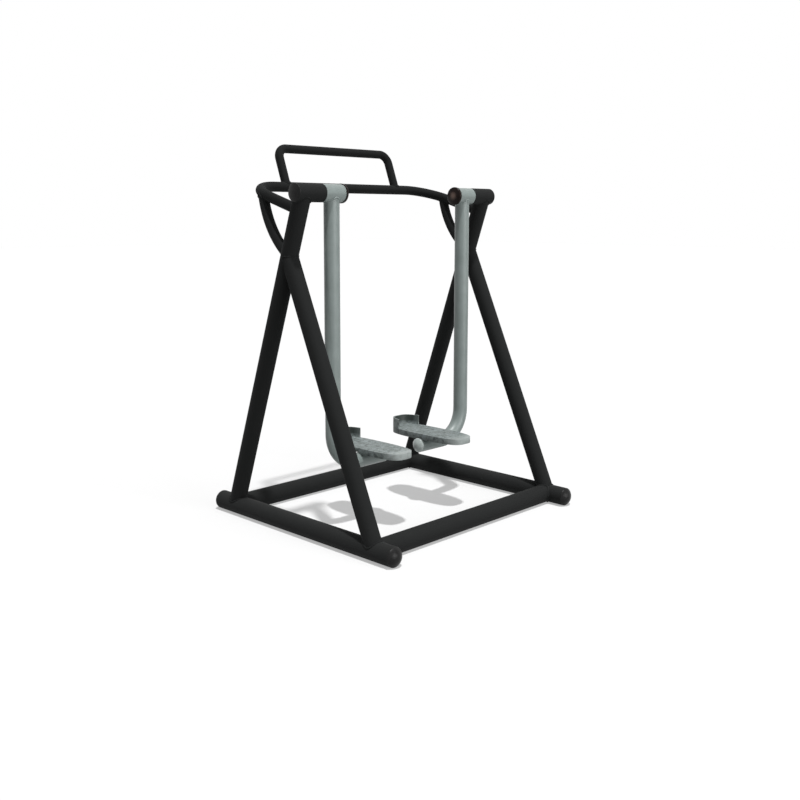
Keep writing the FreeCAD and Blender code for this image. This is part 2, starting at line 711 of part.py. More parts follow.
SIDE_PARTS = {
    "rail": make_rail,
    "front_leg": make_front_leg,
    "rear_leg": make_rear_leg,
    "brace": make_brace,
    "pivot_sleeve": make_pivot_sleeve,
    "sleeve_cap": make_sleeve_cap,
    "axle": make_axle,
    "axle_inner_disc": make_inner_disc,
    "axle_outer_disc": make_outer_disc,
    "stop_pin": make_stop_pin,
    "bearing_inner_rings": make_inner_rings,
    "bearing_spacer": make_spacer,
    "axle_washer": make_axle_washer,
    "axle_nut": make_axle_nut,
    "bearing_housing": make_housing,
    "bearing_outer_rings": make_outer_rings,
    "bearing_balls": make_balls,
    "stop_ring": make_stop_ring,
    "hub_cap": make_hub_cap,
    "swing_arm": make_swing_arm,
    "arm_end_cap": make_stub_cap,
    "pedal_bracket": make_bracket,
    "pedal": make_pedal,
    "pedal_washers": make_pedal_washers,
    "pedal_bolts": make_pedal_bolts,
}


def make_parts():
    """Every piece of the air walker, by name."""
    parts = {
        "front_cross_tube": make_cross_tube(CROSS_Y),
        "rear_cross_tube": make_cross_tube(-CROSS_Y),
        "handlebar": make_handlebar(),
        "upper_handle": make_upper_handle(),
    }
    for side_name, side in SIDES.items():
        parts[side_name + "_front_rail_cap"] = make_rail_cap(side, 1)
        parts[side_name + "_rear_rail_cap"] = make_rail_cap(side, -1)
        for part_name, make in SIDE_PARTS.items():
            parts[side_name + "_" + part_name] = make(side)
    return parts


os.makedirs("parts", exist_ok=True)
for name, shape in make_parts().items():
    shape.exportStep("parts/" + name + ".step")
    print(name, "solids", len(shape.Solids), "valid", shape.isValid(), "volume", round(shape.Volume))
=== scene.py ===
"""Looks of an outdoor air walker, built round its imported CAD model.

The tubes of the frame and the swing arms are CAD nodes that get coated surfaces here.
Weld seams, moulded caps, cast pedals and bolts are modelled in this file, in metres,
in the frame of the CAD model: X along the swing axis, Y forward, Z up.
"""

import json
import logging
import math
from dataclasses import dataclass, field
from enum import Enum
from typing import Any, Iterable, Optional, Union

import bmesh
import bpy
from mathutils import Matrix, Vector

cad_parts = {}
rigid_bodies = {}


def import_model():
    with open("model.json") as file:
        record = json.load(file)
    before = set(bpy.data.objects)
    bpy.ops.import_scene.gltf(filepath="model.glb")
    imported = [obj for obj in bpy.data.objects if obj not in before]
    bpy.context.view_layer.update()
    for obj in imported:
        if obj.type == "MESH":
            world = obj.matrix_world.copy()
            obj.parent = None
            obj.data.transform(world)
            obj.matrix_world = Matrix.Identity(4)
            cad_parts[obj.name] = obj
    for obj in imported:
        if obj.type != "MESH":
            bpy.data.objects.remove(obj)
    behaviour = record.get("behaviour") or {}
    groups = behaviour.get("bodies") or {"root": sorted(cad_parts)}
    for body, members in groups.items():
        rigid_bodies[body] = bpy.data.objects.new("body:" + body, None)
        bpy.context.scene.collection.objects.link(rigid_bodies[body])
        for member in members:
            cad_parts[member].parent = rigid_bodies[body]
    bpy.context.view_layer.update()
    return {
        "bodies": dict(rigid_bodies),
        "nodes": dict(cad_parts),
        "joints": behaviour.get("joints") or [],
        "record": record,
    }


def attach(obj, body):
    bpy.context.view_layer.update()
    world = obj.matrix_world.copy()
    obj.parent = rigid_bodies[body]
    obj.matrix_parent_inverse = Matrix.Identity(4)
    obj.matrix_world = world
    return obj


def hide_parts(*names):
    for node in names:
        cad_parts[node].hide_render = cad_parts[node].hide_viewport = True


LOG = logging.getLogger("air_walker")
MM = 0.001
FRAME_BODY = "frame"

# Places and sizes of the CAD model that several sub-assemblies share
PIVOT_Y = -0.032
PIVOT_Z = 1.22
BAR_Y = 0.287
BAR_Z = 1.2495
BAR_RADIUS = 19.0 * MM
PEDAL_X = 0.1675
STUB_Z = 0.2360

# How loosely a cap's spigot sits in its bore
SNUG = 0.05 * MM
# Points nearer than this are merged, and heights nearer than NEAR count as the same
MERGE = 1e-6
NEAR = 1e-5
BEAD_SIDES = 8

# Sockets of a Mix node that mixes colours, where several share a name
MIX_FACTOR = 0
MIX_A = 6
MIX_B = 7
MIX_COLOUR = 2

Graph = bpy.types.ShaderNodeTree
Node = bpy.types.Node
Socket = bpy.types.NodeSocket
Material = bpy.types.Material
Mesh = bmesh.types.BMesh
Face = bmesh.types.BMFace
Edge = bmesh.types.BMEdge
Vert = bmesh.types.BMVert
Key = Union[str, int]


class Side(Enum):
    """The two mirrored halves, each with the sign of its X."""

    LEFT = -1
    RIGHT = 1

    def node(self, part: str) -> str:
        """The name of this side's copy of a part."""
        return f"{self.name.lower()}_{part}"

    @property
    def swing(self) -> str:
        """The body that swings on this side."""
        return self.node("swing")

    def point(self, x: float, y: float, z: float) -> Vector:
        """A point given by its distance from the middle plane."""
        return Vector((self.value * x, y, z))


class Slot(Enum):
    """The record's material slots, passed with the pieces of this file but not set on them."""

    BLACK_COAT = "black_coat"
    GREY_COAT = "grey_coat"
    CAST_ALUMINIUM = "cast_aluminium"
    BLACK_PLASTIC = "black_plastic"
    GREY_PLASTIC = "grey_plastic"
    BROWN_PLASTIC = "brown_plastic"
    ZINC_STEEL = "zinc_steel"


def linear(code: str) -> tuple[float, float, float, float]:
    """Turns a written colour into the linear values that a shader takes.

    Args:
        code: An sRGB colour as #rrggbb.

    Returns:
        Linear red, green, blue and an alpha of 1.
    """
    channels = []
    for start in (1, 3, 5):
        share = int(code[start:start + 2], 16) / 255
        low = share <= 0.04045
        channels.append(share / 12.92 if low else ((share + 0.055) / 1.055) ** 2.4)
    return channels[0], channels[1], channels[2], 1.0


def add_node(
    graph: Graph,
    kind: str,
    settings: Optional[dict[Key, Any]] = None,
    links: Optional[dict[Key, Socket]] = None,
) -> Node:
    """Adds a node with its settings and links.

    Args:
        graph: The node tree that gets it.
        kind: The node's type name.
        settings: Values by input socket or by attribute.
        links: Output sockets by the input socket that they feed.

    Returns:
        The new node.
    """
    node = graph.nodes.new(kind)
    for key, value in (settings or {}).items():
        if isinstance(key, int) or key in node.inputs:
            node.inputs[key].default_value = value
        else:
            setattr(node, key, value)
    for key, source in (links or {}).items():
        graph.links.new(source, node.inputs[key])
    return node


def start_material(name: str) -> tuple[Material, Graph]:
    """Makes an empty node material.

    Args:
        name: The material's name.

    Returns:
        The material and its node tree.
    """
    material = bpy.data.materials.new(name)
    material.use_nodes = True
    material.node_tree.nodes.clear()
    return material, material.node_tree


def per_metre(size_mm: float) -> float:
    """The scale of a texture whose features are this many millimetres apart."""
    return 1.0 / (size_mm * MM)


@dataclass(frozen=True)
class Skin:
    """The patterns that mix a finish's two colours, change its gloss and shape its relief.

    Each layer is a colour that lies over them, with how much of it lies where.
    """

    tone: Socket
    sheen: Socket
    relief: Socket
    layers: tuple[tuple[str, Socket], ...] = ()


@dataclass(frozen=True, kw_only=True)
class Finish:
    """A surface, made once and given to many pieces. Bare metal has no specular level.

    It is smoother than its roughness where its sheen's pattern is low, and rougher where
    that is high.
    """

    name: str
    colour: str
    second_colour: str
    roughness: float
    smoother: float
    rougher: float
    relief_mm: float
    specular: Optional[float] = None
    sheen_span: tuple[float, float] = (0.3, 0.7)

    def paint(self, graph: Graph, place: Node) -> Skin:
        """Builds the patterns of the surface.

        Args:
            graph: The material's node tree.
            place: Its texture coordinates.

        Returns:
            The patterns and the layers.
        """
        raise NotImplementedError

    def make(self) -> Material:
        """Builds the finish as a material.

        Returns:
            The material.
        """
        material, graph = start_material(self.name)
        skin = self.paint(graph, add_node(graph, "ShaderNodeTexCoord"))
        both = {"data_type": "RGBA", MIX_A: linear(self.colour), MIX_B: linear(self.second_colour)}
        mixed = add_node(graph, "ShaderNodeMix", both, {MIX_FACTOR: skin.tone})
        for colour, amount in skin.layers:
            mixed = add_node(
                graph, "ShaderNodeMix", {"data_type": "RGBA", MIX_B: linear(colour)},
                {MIX_FACTOR: amount, MIX_A: mixed.outputs[MIX_COLOUR]},
            )
        low, high = self.sheen_span
        settings = {
            "From Min": low,
            "From Max": high,
            "To Min": self.roughness - self.smoother,
            "To Max": self.roughness + self.rougher,
        }
        gloss = add_node(graph, "ShaderNodeMapRange", settings, {"Value": skin.sheen})
        bump = add_node(
            graph, "ShaderNodeBump",
            {"Strength": 1.0, "Distance": self.relief_mm * MM}, {"Height": skin.relief},
        )
        kind: dict[Key, Any] = {"Metallic": 1.0}
        if self.specular is not None:
            kind = {"Metallic": 0.0, "IOR": 1.5, "Specular IOR Level": self.specular}
        links = {
            "Base Color": mixed.outputs[MIX_COLOUR],
            "Roughness": gloss.outputs["Result"],
            "Normal": bump.outputs["Normal"],
        }
        shader = add_node(graph, "ShaderNodeBsdfPrincipled", kind, links)
        add_node(graph, "ShaderNodeOutputMaterial", links={"Surface": shader.outputs["BSDF"]})
        return material


@dataclass(frozen=True, kw_only=True)
class PowderCoat(Finish):
    """Polyester powder coat, sprayed and baked on steel tube.

    The melted powder gives an even satin skin. Its fine orange peel breaks highlights up,
    the second colour shows where the layer is thin, and dust settles where the tube faces up.
    """

    dust_colour: str = "#6f6f6a"
    scuff_colour: str = "#6c6d6b"
    dust: float = 0.10
    dust_mm: float = 18.0
    scuffs: float = 0.0
    scuff_mm: float = 9.0
    mottle_mm: float = 70.0
    fleck_mm: float = 1.6
    peel_mm: float = 2.4
    relief_mm: float = 0.022
    smoother: float = 0.05
    rougher: float = 0.06

    def paint(self, graph: Graph, place: Node) -> Skin:
        """Mottles the coat, dusts and scuffs it and gives it its orange peel.

        Args:
            graph: The material's node tree.
            place: Its texture coordinates.

        Returns:
            The patterns and the layers.
        """
        spot = place.outputs["Object"]
        mottle = add_node(
            graph, "ShaderNodeTexNoise",
            {"Scale": per_metre(self.mottle_mm), "Detail": 4.0, "Roughness": 0.55}, {"Vector": spot},
        )
        # Flecks are finer than a pixel of the photo, so they only take the flatness away
        fleck = add_node(
            graph, "ShaderNodeTexNoise",
            {"Scale": per_metre(self.fleck_mm), "Detail": 2.0}, {"Vector": spot},
        )
        tone = add_node(
            graph, "ShaderNodeMath", {"operation": "MULTIPLY_ADD", 1: 0.5},
            {0: fleck.outputs["Fac"], 2: mottle.outputs["Fac"]},
        )
        thin = add_node(
            graph, "ShaderNodeMapRange",
            {"From Min": 0.55, "From Max": 0.95}, {"Value": tone.outputs["Value"]},
        )
        layers = [(self.dust_colour, self._dust(graph, place))]
        if self.scuffs:
            layers.append((self.scuff_colour, self._scuff(graph, spot)))
        peel = add_node(
            graph, "ShaderNodeTexNoise",
            {"Scale": per_metre(self.peel_mm), "Detail": 1.0}, {"Vector": spot},
        )
        return Skin(thin.outputs["Result"], mottle.outputs["Fac"], peel.outputs["Fac"], tuple(layers))

    def _dust(self, graph: Graph, place: Node) -> Socket:
        """Finds the upper sides, where dust lies.

        Args:
            graph: The material's node tree.
            place: Its texture coordinates.

        Returns:
            How much dust lies there.
        """
        facing = add_node(graph, "ShaderNodeSeparateXYZ", links={"Vector": place.outputs["Normal"]})
        upward = add_node(
            graph, "ShaderNodeMapRange",
            {"From Min": 0.45, "From Max": 1.0, "To Max": self.dust}, {"Value": facing.outputs["Z"]},
        )
        patches = add_node(
            graph, "ShaderNodeTexNoise",
            {"Scale": per_metre(self.dust_mm), "Detail": 5.0, "Roughness": 0.65},
            {"Vector": place.outputs["Object"]},
        )
        amount = add_node(
            graph, "ShaderNodeMath", {"operation": "MULTIPLY"},
            {0: upward.outputs["Result"], 1: patches.outputs["Fac"]},
        )
        return amount.outputs["Value"]

    def _scuff(self, graph: Graph, spot: Socket) -> Socket:
        """Scatters the scuffs of shoes and hands.

        Args:
            graph: The material's node tree.
            spot: Object coordinates.

        Returns:
            How scuffed the coat is.
        """
        rubs = add_node(
            graph, "ShaderNodeTexNoise",
            {"Scale": per_metre(self.scuff_mm), "Detail": 6.0, "Roughness": 0.7, "Distortion": 1.2},
            {"Vector": spot},
        )
        marks = add_node(
            graph, "ShaderNodeMapRange",
            {"From Min": 0.64, "From Max": 0.74, "To Max": self.scuffs}, {"Value": rubs.outputs["Fac"]},
        )
        return marks.outputs["Result"]


@dataclass(frozen=True, kw_only=True)
class CastAluminium(Finish):
    """Aluminium, cast in a sand mould and sprayed silver-grey.

    The spray clouds from one grey to the other. The mould leaves a coarse grit, and dark
    marks lie at random places. Shoes rub the edges and the studs bright. The heel end is
    painted lighter, as wear and as painted light on its end face, and the toe guard's
    inside darker, as the rubber that shoes leave and as painted shade.
    """

    name: str = "cast_aluminium_sprayed_grey"
    colour: str = "#5b6260"
    second_colour: str = "#788080"
    dark_marks_and_shade_colour: str = "#2b312f"
    worn_and_lit_colour: str = "#a6acaa"
    roughness: float = 0.5
    smoother: float = 0.08
    rougher: float = 0.1
    specular: Optional[float] = 0.25
    cloud_mm: float = 26.0
    grit_mm: float = 2.2
    relief_mm: float = 0.10
    mark_mm: float = 15.0
    mark_span: tuple[float, float] = (0.51, 0.64)
    marks: float = 0.7
    edge_mm: float = 1.6
    edge_wear: float = 0.7
    # The heel end is painted lighter, as wear and as painted light on its end face
    heel_y: tuple[float, float] = (-0.155, -0.205)
    heel_wear_and_light: float = 0.48
    toe_z: tuple[float, float] = (0.287, 0.300)

    def paint(self, graph: Graph, place: Node) -> Skin:
        """Clouds the spray, scatters dark marks, adds rubber and painted shade, and wear and painted
        light.

        Args:
            graph: The material's node tree.
            place: Its texture coordinates.

        Returns:
            The patterns and the layers.
        """
        spot = place.outputs["Object"]
        cloud = add_node(
            graph, "ShaderNodeTexNoise",
            {"Scale": per_metre(self.cloud_mm), "Detail": 4.0, "Roughness": 0.6}, {"Vector": spot},
        )
        cloudy = add_node(
            graph, "ShaderNodeMapRange",
            {"From Min": 0.35, "From Max": 0.65}, {"Value": cloud.outputs["Fac"]},
        )
        # Dark marks at random places, which the gloss also follows
        blotches = add_node(
            graph, "ShaderNodeTexNoise",
            {"Scale": per_metre(self.mark_mm), "Detail": 5.0, "Roughness": 0.62}, {"Vector": spot},
        )
        marks = add_node(
            graph, "ShaderNodeMapRange",
            {"From Min": self.mark_span[0], "From Max": self.mark_span[1], "To Max": self.marks},
            {"Value": blotches.outputs["Fac"]},
        )
        where = add_node(graph, "ShaderNodeSeparateXYZ", links={"Vector": spot})
        layers = (
            (self.dark_marks_and_shade_colour, marks.outputs["Result"]),
            # Dark rubber and painted shade on the toe guard's inside
            (self.dark_marks_and_shade_colour, self._rubber_and_guard_shade(graph, place, where.outputs["Z"])),
            # Lighter worn edges, and the heel end lighter as wear and as painted light
            (self.worn_and_lit_colour, self._wear_and_heel_light(graph, where.outputs["Y"])),
        )
        grit = add_node(
            graph, "ShaderNodeTexNoise",
            {"Scale": per_metre(self.grit_mm), "Detail": 3.0, "Roughness": 0.6}, {"Vector": spot},
        )
        return Skin(cloudy.outputs["Result"], blotches.outputs["Fac"], grit.outputs["Fac"], layers)

    def _rubber_and_guard_shade(self, graph: Graph, place: Node, height: Socket) -> Socket:
        """Finds the toe guard's inside faces that turn towards the heel, for rubber and painted shade.

        Args:
            graph: The material's node tree.
            place: Its texture coordinates.
            height: The height above the ground.

        Returns:
            How much rubber and painted shade lie there, from 0 to 1.
        """
        above = add_node(
            graph, "ShaderNodeMapRange",
            {"From Min": self.toe_z[0], "From Max": self.toe_z[1]}, {"Value": height},
        )
        facing = add_node(graph, "ShaderNodeSeparateXYZ", links={"Vector": place.outputs["Normal"]})
        inside = add_node(
            graph, "ShaderNodeMapRange",
            {"From Min": -0.05, "From Max": -0.35}, {"Value": facing.outputs["Y"]},
        )
        both = add_node(
            graph, "ShaderNodeMath", {"operation": "MULTIPLY"},
            {0: above.outputs["Result"], 1: inside.outputs["Result"]},
        )
        return both.outputs["Value"]

    def _wear_and_heel_light(self, graph: Graph, along: Socket) -> Socket:
        """Finds the heel end, and the edges by how far a rounded normal leaves the true one.

        The edges are lighter as wear, and the heel end as wear and as painted light on its end.

        Args:
            graph: The material's node tree.
            along: The place along the pedal.

        Returns:
            How much lighter it is painted, for wear and for light on the heel end.
        """
        rounded = add_node(graph, "ShaderNodeBevel", {"samples": 4, "Radius": self.edge_mm * MM})
        true = add_node(graph, "ShaderNodeNewGeometry")
        match = add_node(
            graph, "ShaderNodeVectorMath", {"operation": "DOT_PRODUCT"},
            {0: rounded.outputs["Normal"], 1: true.outputs["Normal"]},
        )
        edge = add_node(
            graph, "ShaderNodeMapRange",
            {"From Min": 0.985, "From Max": 0.90, "To Max": self.edge_wear},
            {"Value": match.outputs["Value"]},
        )
        heel = add_node(
            graph, "ShaderNodeMapRange",
            {"From Min": self.heel_y[0], "From Max": self.heel_y[1], "To Max": self.heel_wear_and_light},
            {"Value": along},
        )
        bare = add_node(
            graph, "ShaderNodeMath", {"operation": "MAXIMUM"},
            {0: edge.outputs["Result"], 1: heel.outputs["Result"]},
        )
        return bare.outputs["Value"]


@dataclass(frozen=True, kw_only=True)
class MouldedPlastic(Finish):
    """Polyethylene, injection moulded and pressed into a tube end.

    The polished mould gives a soft gloss with a faint ripple, and handling leaves fine
    hazy scratches in the second colour.
    """

    smoother: float = 0.04
    rougher: float = 0.1
    specular: Optional[float] = 0.4
    haze_mm: float = 12.0
    painted_highlight_colour: Optional[str] = None
    highlight_mm: float = 22.0
    ripple_mm: float = 7.0
    relief_mm: float = 0.02

    def paint(self, graph: Graph, place: Node) -> Skin:
        """Hazes and ripples the plastic, and paints a highlight where it has a colour for one.

        Args:
            graph: The material's node tree.
            place: Its texture coordinates.

        Returns:
            The patterns and the layers.
        """
        spot = place.outputs["Object"]
        haze = add_node(
            graph, "ShaderNodeTexNoise",
            {"Scale": per_metre(self.haze_mm), "Detail": 7.0, "Roughness": 0.7, "Distortion": 0.6},
            {"Vector": spot},
        )
        hazy = add_node(
            graph, "ShaderNodeMapRange",
            {"From Min": 0.42, "From Max": 0.72, "To Max": 0.6}, {"Value": haze.outputs["Fac"]},
        )
        layers: tuple[tuple[str, Socket], ...] = ()
        # A painted highlight in the middle of the hub caps
        if self.painted_highlight_colour is not None:
            layers = ((self.painted_highlight_colour, self._painted_highlight(graph, spot)),)
        ripple = add_node(
            graph, "ShaderNodeTexNoise",
            {"Scale": per_metre(self.ripple_mm), "Detail": 1.0}, {"Vector": spot},
        )
        return Skin(hazy.outputs["Result"], haze.outputs["Fac"], ripple.outputs["Fac"], layers)

    def _painted_highlight(self, graph: Graph, spot: Socket) -> Socket:
        """Paints a pale highlight in the middle of a hub cap, round the swing axis.

        Args:
            graph: The material's node tree.
            spot: Object coordinates.

        Returns:
            How much of the painted highlight lies there.
        """
        from_axis = add_node(
            graph, "ShaderNodeVectorMath",
            {"operation": "SUBTRACT", 1: (0.0, PIVOT_Y, PIVOT_Z)}, {0: spot},
        )
        aside = add_node(
            graph, "ShaderNodeVectorMath",
            {"operation": "MULTIPLY", 1: (0.0, 1.0, 1.0)}, {0: from_axis.outputs["Vector"]},
        )
        reach = add_node(
            graph, "ShaderNodeVectorMath", {"operation": "LENGTH"}, {0: aside.outputs["Vector"]}
        )
        size = self.highlight_mm * MM
        amount = add_node(
            graph, "ShaderNodeMapRange",
            {"interpolation_type": "SMOOTHSTEP", "From Min": size, "From Max": size * 0.1},
            {"Value": reach.outputs["Value"]},
        )
        return amount.outputs["Result"]


@dataclass(frozen=True, kw_only=True)
class MachinedSteel(Finish):
    """Steel, turned or ground round the swing axis.

    The tool leaves fine rings, drawn here 0.8 mm apart so that they show, and a film of
    oil in the second colour gives the bare metal a slightly uneven sheen.
    """

    smoother: float = 0.06
    rougher: float = 0.08
    sheen_span: tuple[float, float] = (0.0, 1.0)
    film_mm: float = 9.0
    ring_mm: float = 0.8
    relief_mm: float = 0.012
    # At a scale of 1 the wave texture draws its rings about this far apart
    ring_at_scale_one: float = 0.3125

    def paint(self, graph: Graph, place: Node) -> Skin:
        """Turns rings into the metal and films it with oil.

        Args:
            graph: The material's node tree.
            place: Its texture coordinates.

        Returns:
            The patterns and the layers.
        """
        spot = place.outputs["Object"]
        centred = add_node(
            graph, "ShaderNodeMapping", {"Location": (0.0, -PIVOT_Y, -PIVOT_Z)}, {"Vector": spot}
        )
        rings = add_node(
            graph, "ShaderNodeTexWave",
            {
                "wave_type": "RINGS",
                "rings_direction": "X",
                "Scale": per_metre(self.ring_mm) * self.ring_at_scale_one,
                "Distortion": 0.4,
            },
            {"Vector": centred.outputs["Vector"]},
        )
        film = add_node(
            graph, "ShaderNodeTexNoise",
            {"Scale": per_metre(self.film_mm), "Detail": 3.0}, {"Vector": spot},
        )
        return Skin(film.outputs["Fac"], film.outputs["Fac"], rings.outputs["Fac"])


@dataclass(frozen=True, kw_only=True)
class ZincPlate(Finish):
    """Steel screws and washers, electroplated with zinc and passivated.

    The plating has a dull bluish sheen with patches of faint colour.
    """

    name: str = "zinc_plated_steel"
    colour: str = "#b4b9bd"
    second_colour: str = "#c2bd9f"
    roughness: float = 0.34
    smoother: float = 0.06
    rougher: float = 0.1
    sheen_span: tuple[float, float] = (0.0, 1.0)
    patch_mm: float = 4.0
    grain_mm: float = 0.7
    relief_mm: float = 0.01

    def paint(self, graph: Graph, place: Node) -> Skin:
        """Tints the plating in patches and grains it.

        Args:
            graph: The material's node tree.
            place: Its texture coordinates.

        Returns:
            The patterns and the layers.
        """
        spot = place.outputs["Object"]
        patches = add_node(
            graph, "ShaderNodeTexVoronoi",
            {"Scale": per_metre(self.patch_mm), "Randomness": 1.0}, {"Vector": spot},
        )
        shade = add_node(graph, "ShaderNodeSeparateColor", links={"Color": patches.outputs["Color"]})
        grain = add_node(
            graph, "ShaderNodeTexNoise",
            {"Scale": per_metre(self.grain_mm), "Detail": 2.0}, {"Vector": spot},
        )
        return Skin(shade.outputs["Red"], shade.outputs["Green"], grain.outputs["Fac"])


def once(finish: Finish) -> Any:
    """A field that makes its material when the finishes are set up."""
    return field(default_factory=finish.make)


@dataclass
class Finishes:
    """All the surfaces of the walker, each made once."""

    # The three black coats are one coat: the rails' copy is painted lighter as painted light, the grips'
    # copy darker as painted shade
    base: Material = once(PowderCoat(
        name="black_powder_coat_base", colour="#191a1a", second_colour="#202121",
        roughness=0.82, specular=0.14, dust=0.02, scuffs=0.10,
    ))
    legs: Material = once(PowderCoat(
        name="black_powder_coat_legs", colour="#151616", second_colour="#1a1b1b",
        roughness=0.82, specular=0.12, dust=0.01,
    ))
    grips: Material = once(PowderCoat(
        name="black_powder_coat_grips", colour="#101111", second_colour="#151616",
        roughness=0.8, specular=0.1, dust=0.01, scuffs=0.05,
    ))
    arms: Material = once(PowderCoat(
        name="silver_grey_powder_coat", colour="#6c7573", second_colour="#77807e",
        dust_colour="#a4a49c", scuff_colour="#5d6462",
        roughness=0.38, specular=0.36, dust=0.10, scuffs=0.12,
    ))
    pedals: Material = once(CastAluminium())
    black_caps: Material = once(MouldedPlastic(
        name="black_moulded_cap", colour="#191919", second_colour="#262626", roughness=0.3, specular=0.1,
    ))
    grey_caps: Material = once(MouldedPlastic(
        name="grey_moulded_cap", colour="#9aa2a0", second_colour="#a9b1ae", roughness=0.22,
    ))
    # The hub caps get a painted highlight in their middle
    brown_caps: Material = once(MouldedPlastic(
        name="dark_brown_moulded_cap", colour="#140c0a", second_colour="#1f1411",
        roughness=0.26, specular=0.1, painted_highlight_colour="#6b5a53",
    ))
    turned: Material = once(MachinedSteel(
        name="turned_steel", colour="#8f8f8c", second_colour="#7b7870", roughness=0.34,
    ))
    ground: Material = once(MachinedSteel(
        name="ground_bearing_steel", colour="#c4c6c8", second_colour="#b5b3ac",
        roughness=0.14, relief_mm=0.003,
    ))
    plated: Material = once(ZincPlate())


def make_piece(
    name: str,
    mesh: Mesh,
    material: Material,
    body: str,
    sharp_degrees: float = 38.0,
) -> bpy.types.Object:
    """Turns a finished bmesh into a piece that rides on a body.

    Args:
        name: The piece's name.
        mesh: Its shape in the frame's metres, which is freed.
        material: Its finish.
        body: The CAD body that it moves with.
        sharp_degrees: Edges that turn by more than this stay sharp.

    Returns:
        The new object.
    """
    data = bpy.data.meshes.new(name)
    mesh.to_mesh(data)
    mesh.free()
    data.materials.append(material)
    for face in data.polygons:
        face.use_smooth = True
    data.set_sharp_from_angle(angle=math.radians(sharp_degrees))
    piece = bpy.data.objects.new(name, data)
    bpy.context.scene.collection.objects.link(piece)
    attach(piece, body)
    LOG.info("%s: %d faces on %s", name, len(data.polygons), body)
    return piece


def join_into(target: Mesh, source: Mesh) -> None:
    """Adds one bmesh to another and frees it.

    Args:
        target: The bmesh that grows.
        source: The bmesh that is used up.
    """
    carrier = bpy.data.meshes.new("carrier")
    source.to_mesh(carrier)
    source.free()
    target.from_mesh(carrier)
    bpy.data.meshes.remove(carrier)


def verts_in(items: Iterable[Any]) -> list[Vert]:
    """The vertices among an operator's results."""
    return [item for item in items if isinstance(item, Vert)]


def with_borders(faces: list[Face]) -> list[Any]:
    """Lists faces together with their edges and corners, as a cut wants them.

    Args:
        faces: The faces.

    Returns:
        Each face, edge and corner once, in a fixed order.
    """
    items: dict[Any, None] = dict.fromkeys(faces)
    for face in faces:
        items.update(dict.fromkeys(face.edges))
        items.update(dict.fromkeys(face.verts))
    return list(items)


def turn_outwards(mesh: Mesh) -> None:
    """Makes the faces of a closed shape face outwards.

    Args:
        mesh: The shape.
    """
    bmesh.ops.recalc_face_normals(mesh, faces=mesh.faces)
    if mesh.calc_volume(signed=True) < 0:
        bmesh.ops.reverse_faces(mesh, faces=mesh.faces)


def lift(mesh: Mesh, faces: list[Face], height: float) -> None:
    """Extrudes flat faces up or down and leaves the old ones where they were."""
    moved = verts_in(bmesh.ops.extrude_face_region(mesh, geom=faces)["geom"])
    bmesh.ops.translate(mesh, verts=moved, vec=(0, 0, height))


def pull(mesh: Mesh, faces: list[Face], height: float) -> None:
    """Extrudes flat faces up or down and leaves none behind."""
    lift(mesh, faces, height)
    bmesh.ops.delete(mesh, geom=faces, context="FACES")


def spin_round(mesh: Mesh, steps: int) -> None:
    """Spins everything once round Z and closes the seam and the poles.

    Args:
        mesh: The shape.
        steps: How many faces it gets round its axis.
    """
    bmesh.ops.spin(
        mesh, geom=mesh.verts[:] + mesh.edges[:], cent=(0, 0, 0), axis=(0, 0, 1),
        angle=2 * math.pi, steps=steps, use_merge=True,
    )
    bmesh.ops.remove_doubles(mesh, verts=mesh.verts, dist=MERGE)


def round_edges(
    mesh: Mesh, edges: list[Edge], radius: float, segments: int = 2, clamp: bool = False
) -> None:
    """Rounds edges.

    Args:
        mesh: The shape.
        edges: Its edges to round.
        radius: How far the rounding reaches from each edge.
        segments: How many faces it has across.
        clamp: Whether it is narrowed where there isn't room.
    """
    bmesh.ops.bevel(
        mesh, geom=edges, offset=radius, offset_type="OFFSET", affect="EDGES",
        segments=segments, profile=0.5, material=-1, clamp_overlap=clamp,
    )


def add_bar(mesh: Mesh, place: Matrix, radius: float, length: float, sides: int) -> list[Vert]:
    """Adds a solid bar.

    Args:
        mesh: The bmesh that gets it.
        place: Where its middle lies and how it is turned from upright.
        radius: From its axis to its corners.
        length: Its length.
        sides: How many sides it has.

    Returns:
        Its corners.
    """
    return bmesh.ops.create_cone(
        mesh, cap_ends=True, segments=sides, radius1=radius, radius2=radius, depth=length, matrix=place
    )["verts"]


def stand_on(base: Vector, axis: Vector) -> Matrix:
    """A placement that puts the origin at base and turns Z to the axis."""
    turn = Vector((0, 0, 1)).rotation_difference(axis.normalized())
    return Matrix.Translation(base) @ turn.to_matrix().to_4x4()


@dataclass(frozen=True)
class Tube:
    """The outside of a straight tube."""

    start: Vector
    end: Vector
    radius: float

    @property
    def heading(self) -> Vector:
        """The direction from start to end."""
        return (self.end - self.start).normalized()

    def reach(self, origin: Vector, heading: Vector) -> tuple[float, bool]:
        """How far along a line the far side of this tube lies.

        Args:
            origin: A point on the line.
            heading: The line's direction, of length 1.

        Returns:
            The distance, and whether the line meets the tube there within its length.
            Where it passes beside the tube, the distance is that of its nearest point.
        """
        axis = self.heading
        offset = origin - self.start
        across = heading - axis * heading.dot(axis)
        aside = offset - axis * offset.dot(axis)
        steep = across.length_squared
        half = across.dot(aside) / steep
        rest = (aside.length_squared - self.radius ** 2) / steep
        root = max(half * half - rest, 0.0)
        distance = -half + math.sqrt(root)
        along = (offset + heading * distance).dot(axis)
        inside = 0.0 <= along <= (self.end - self.start).length
        return distance, inside


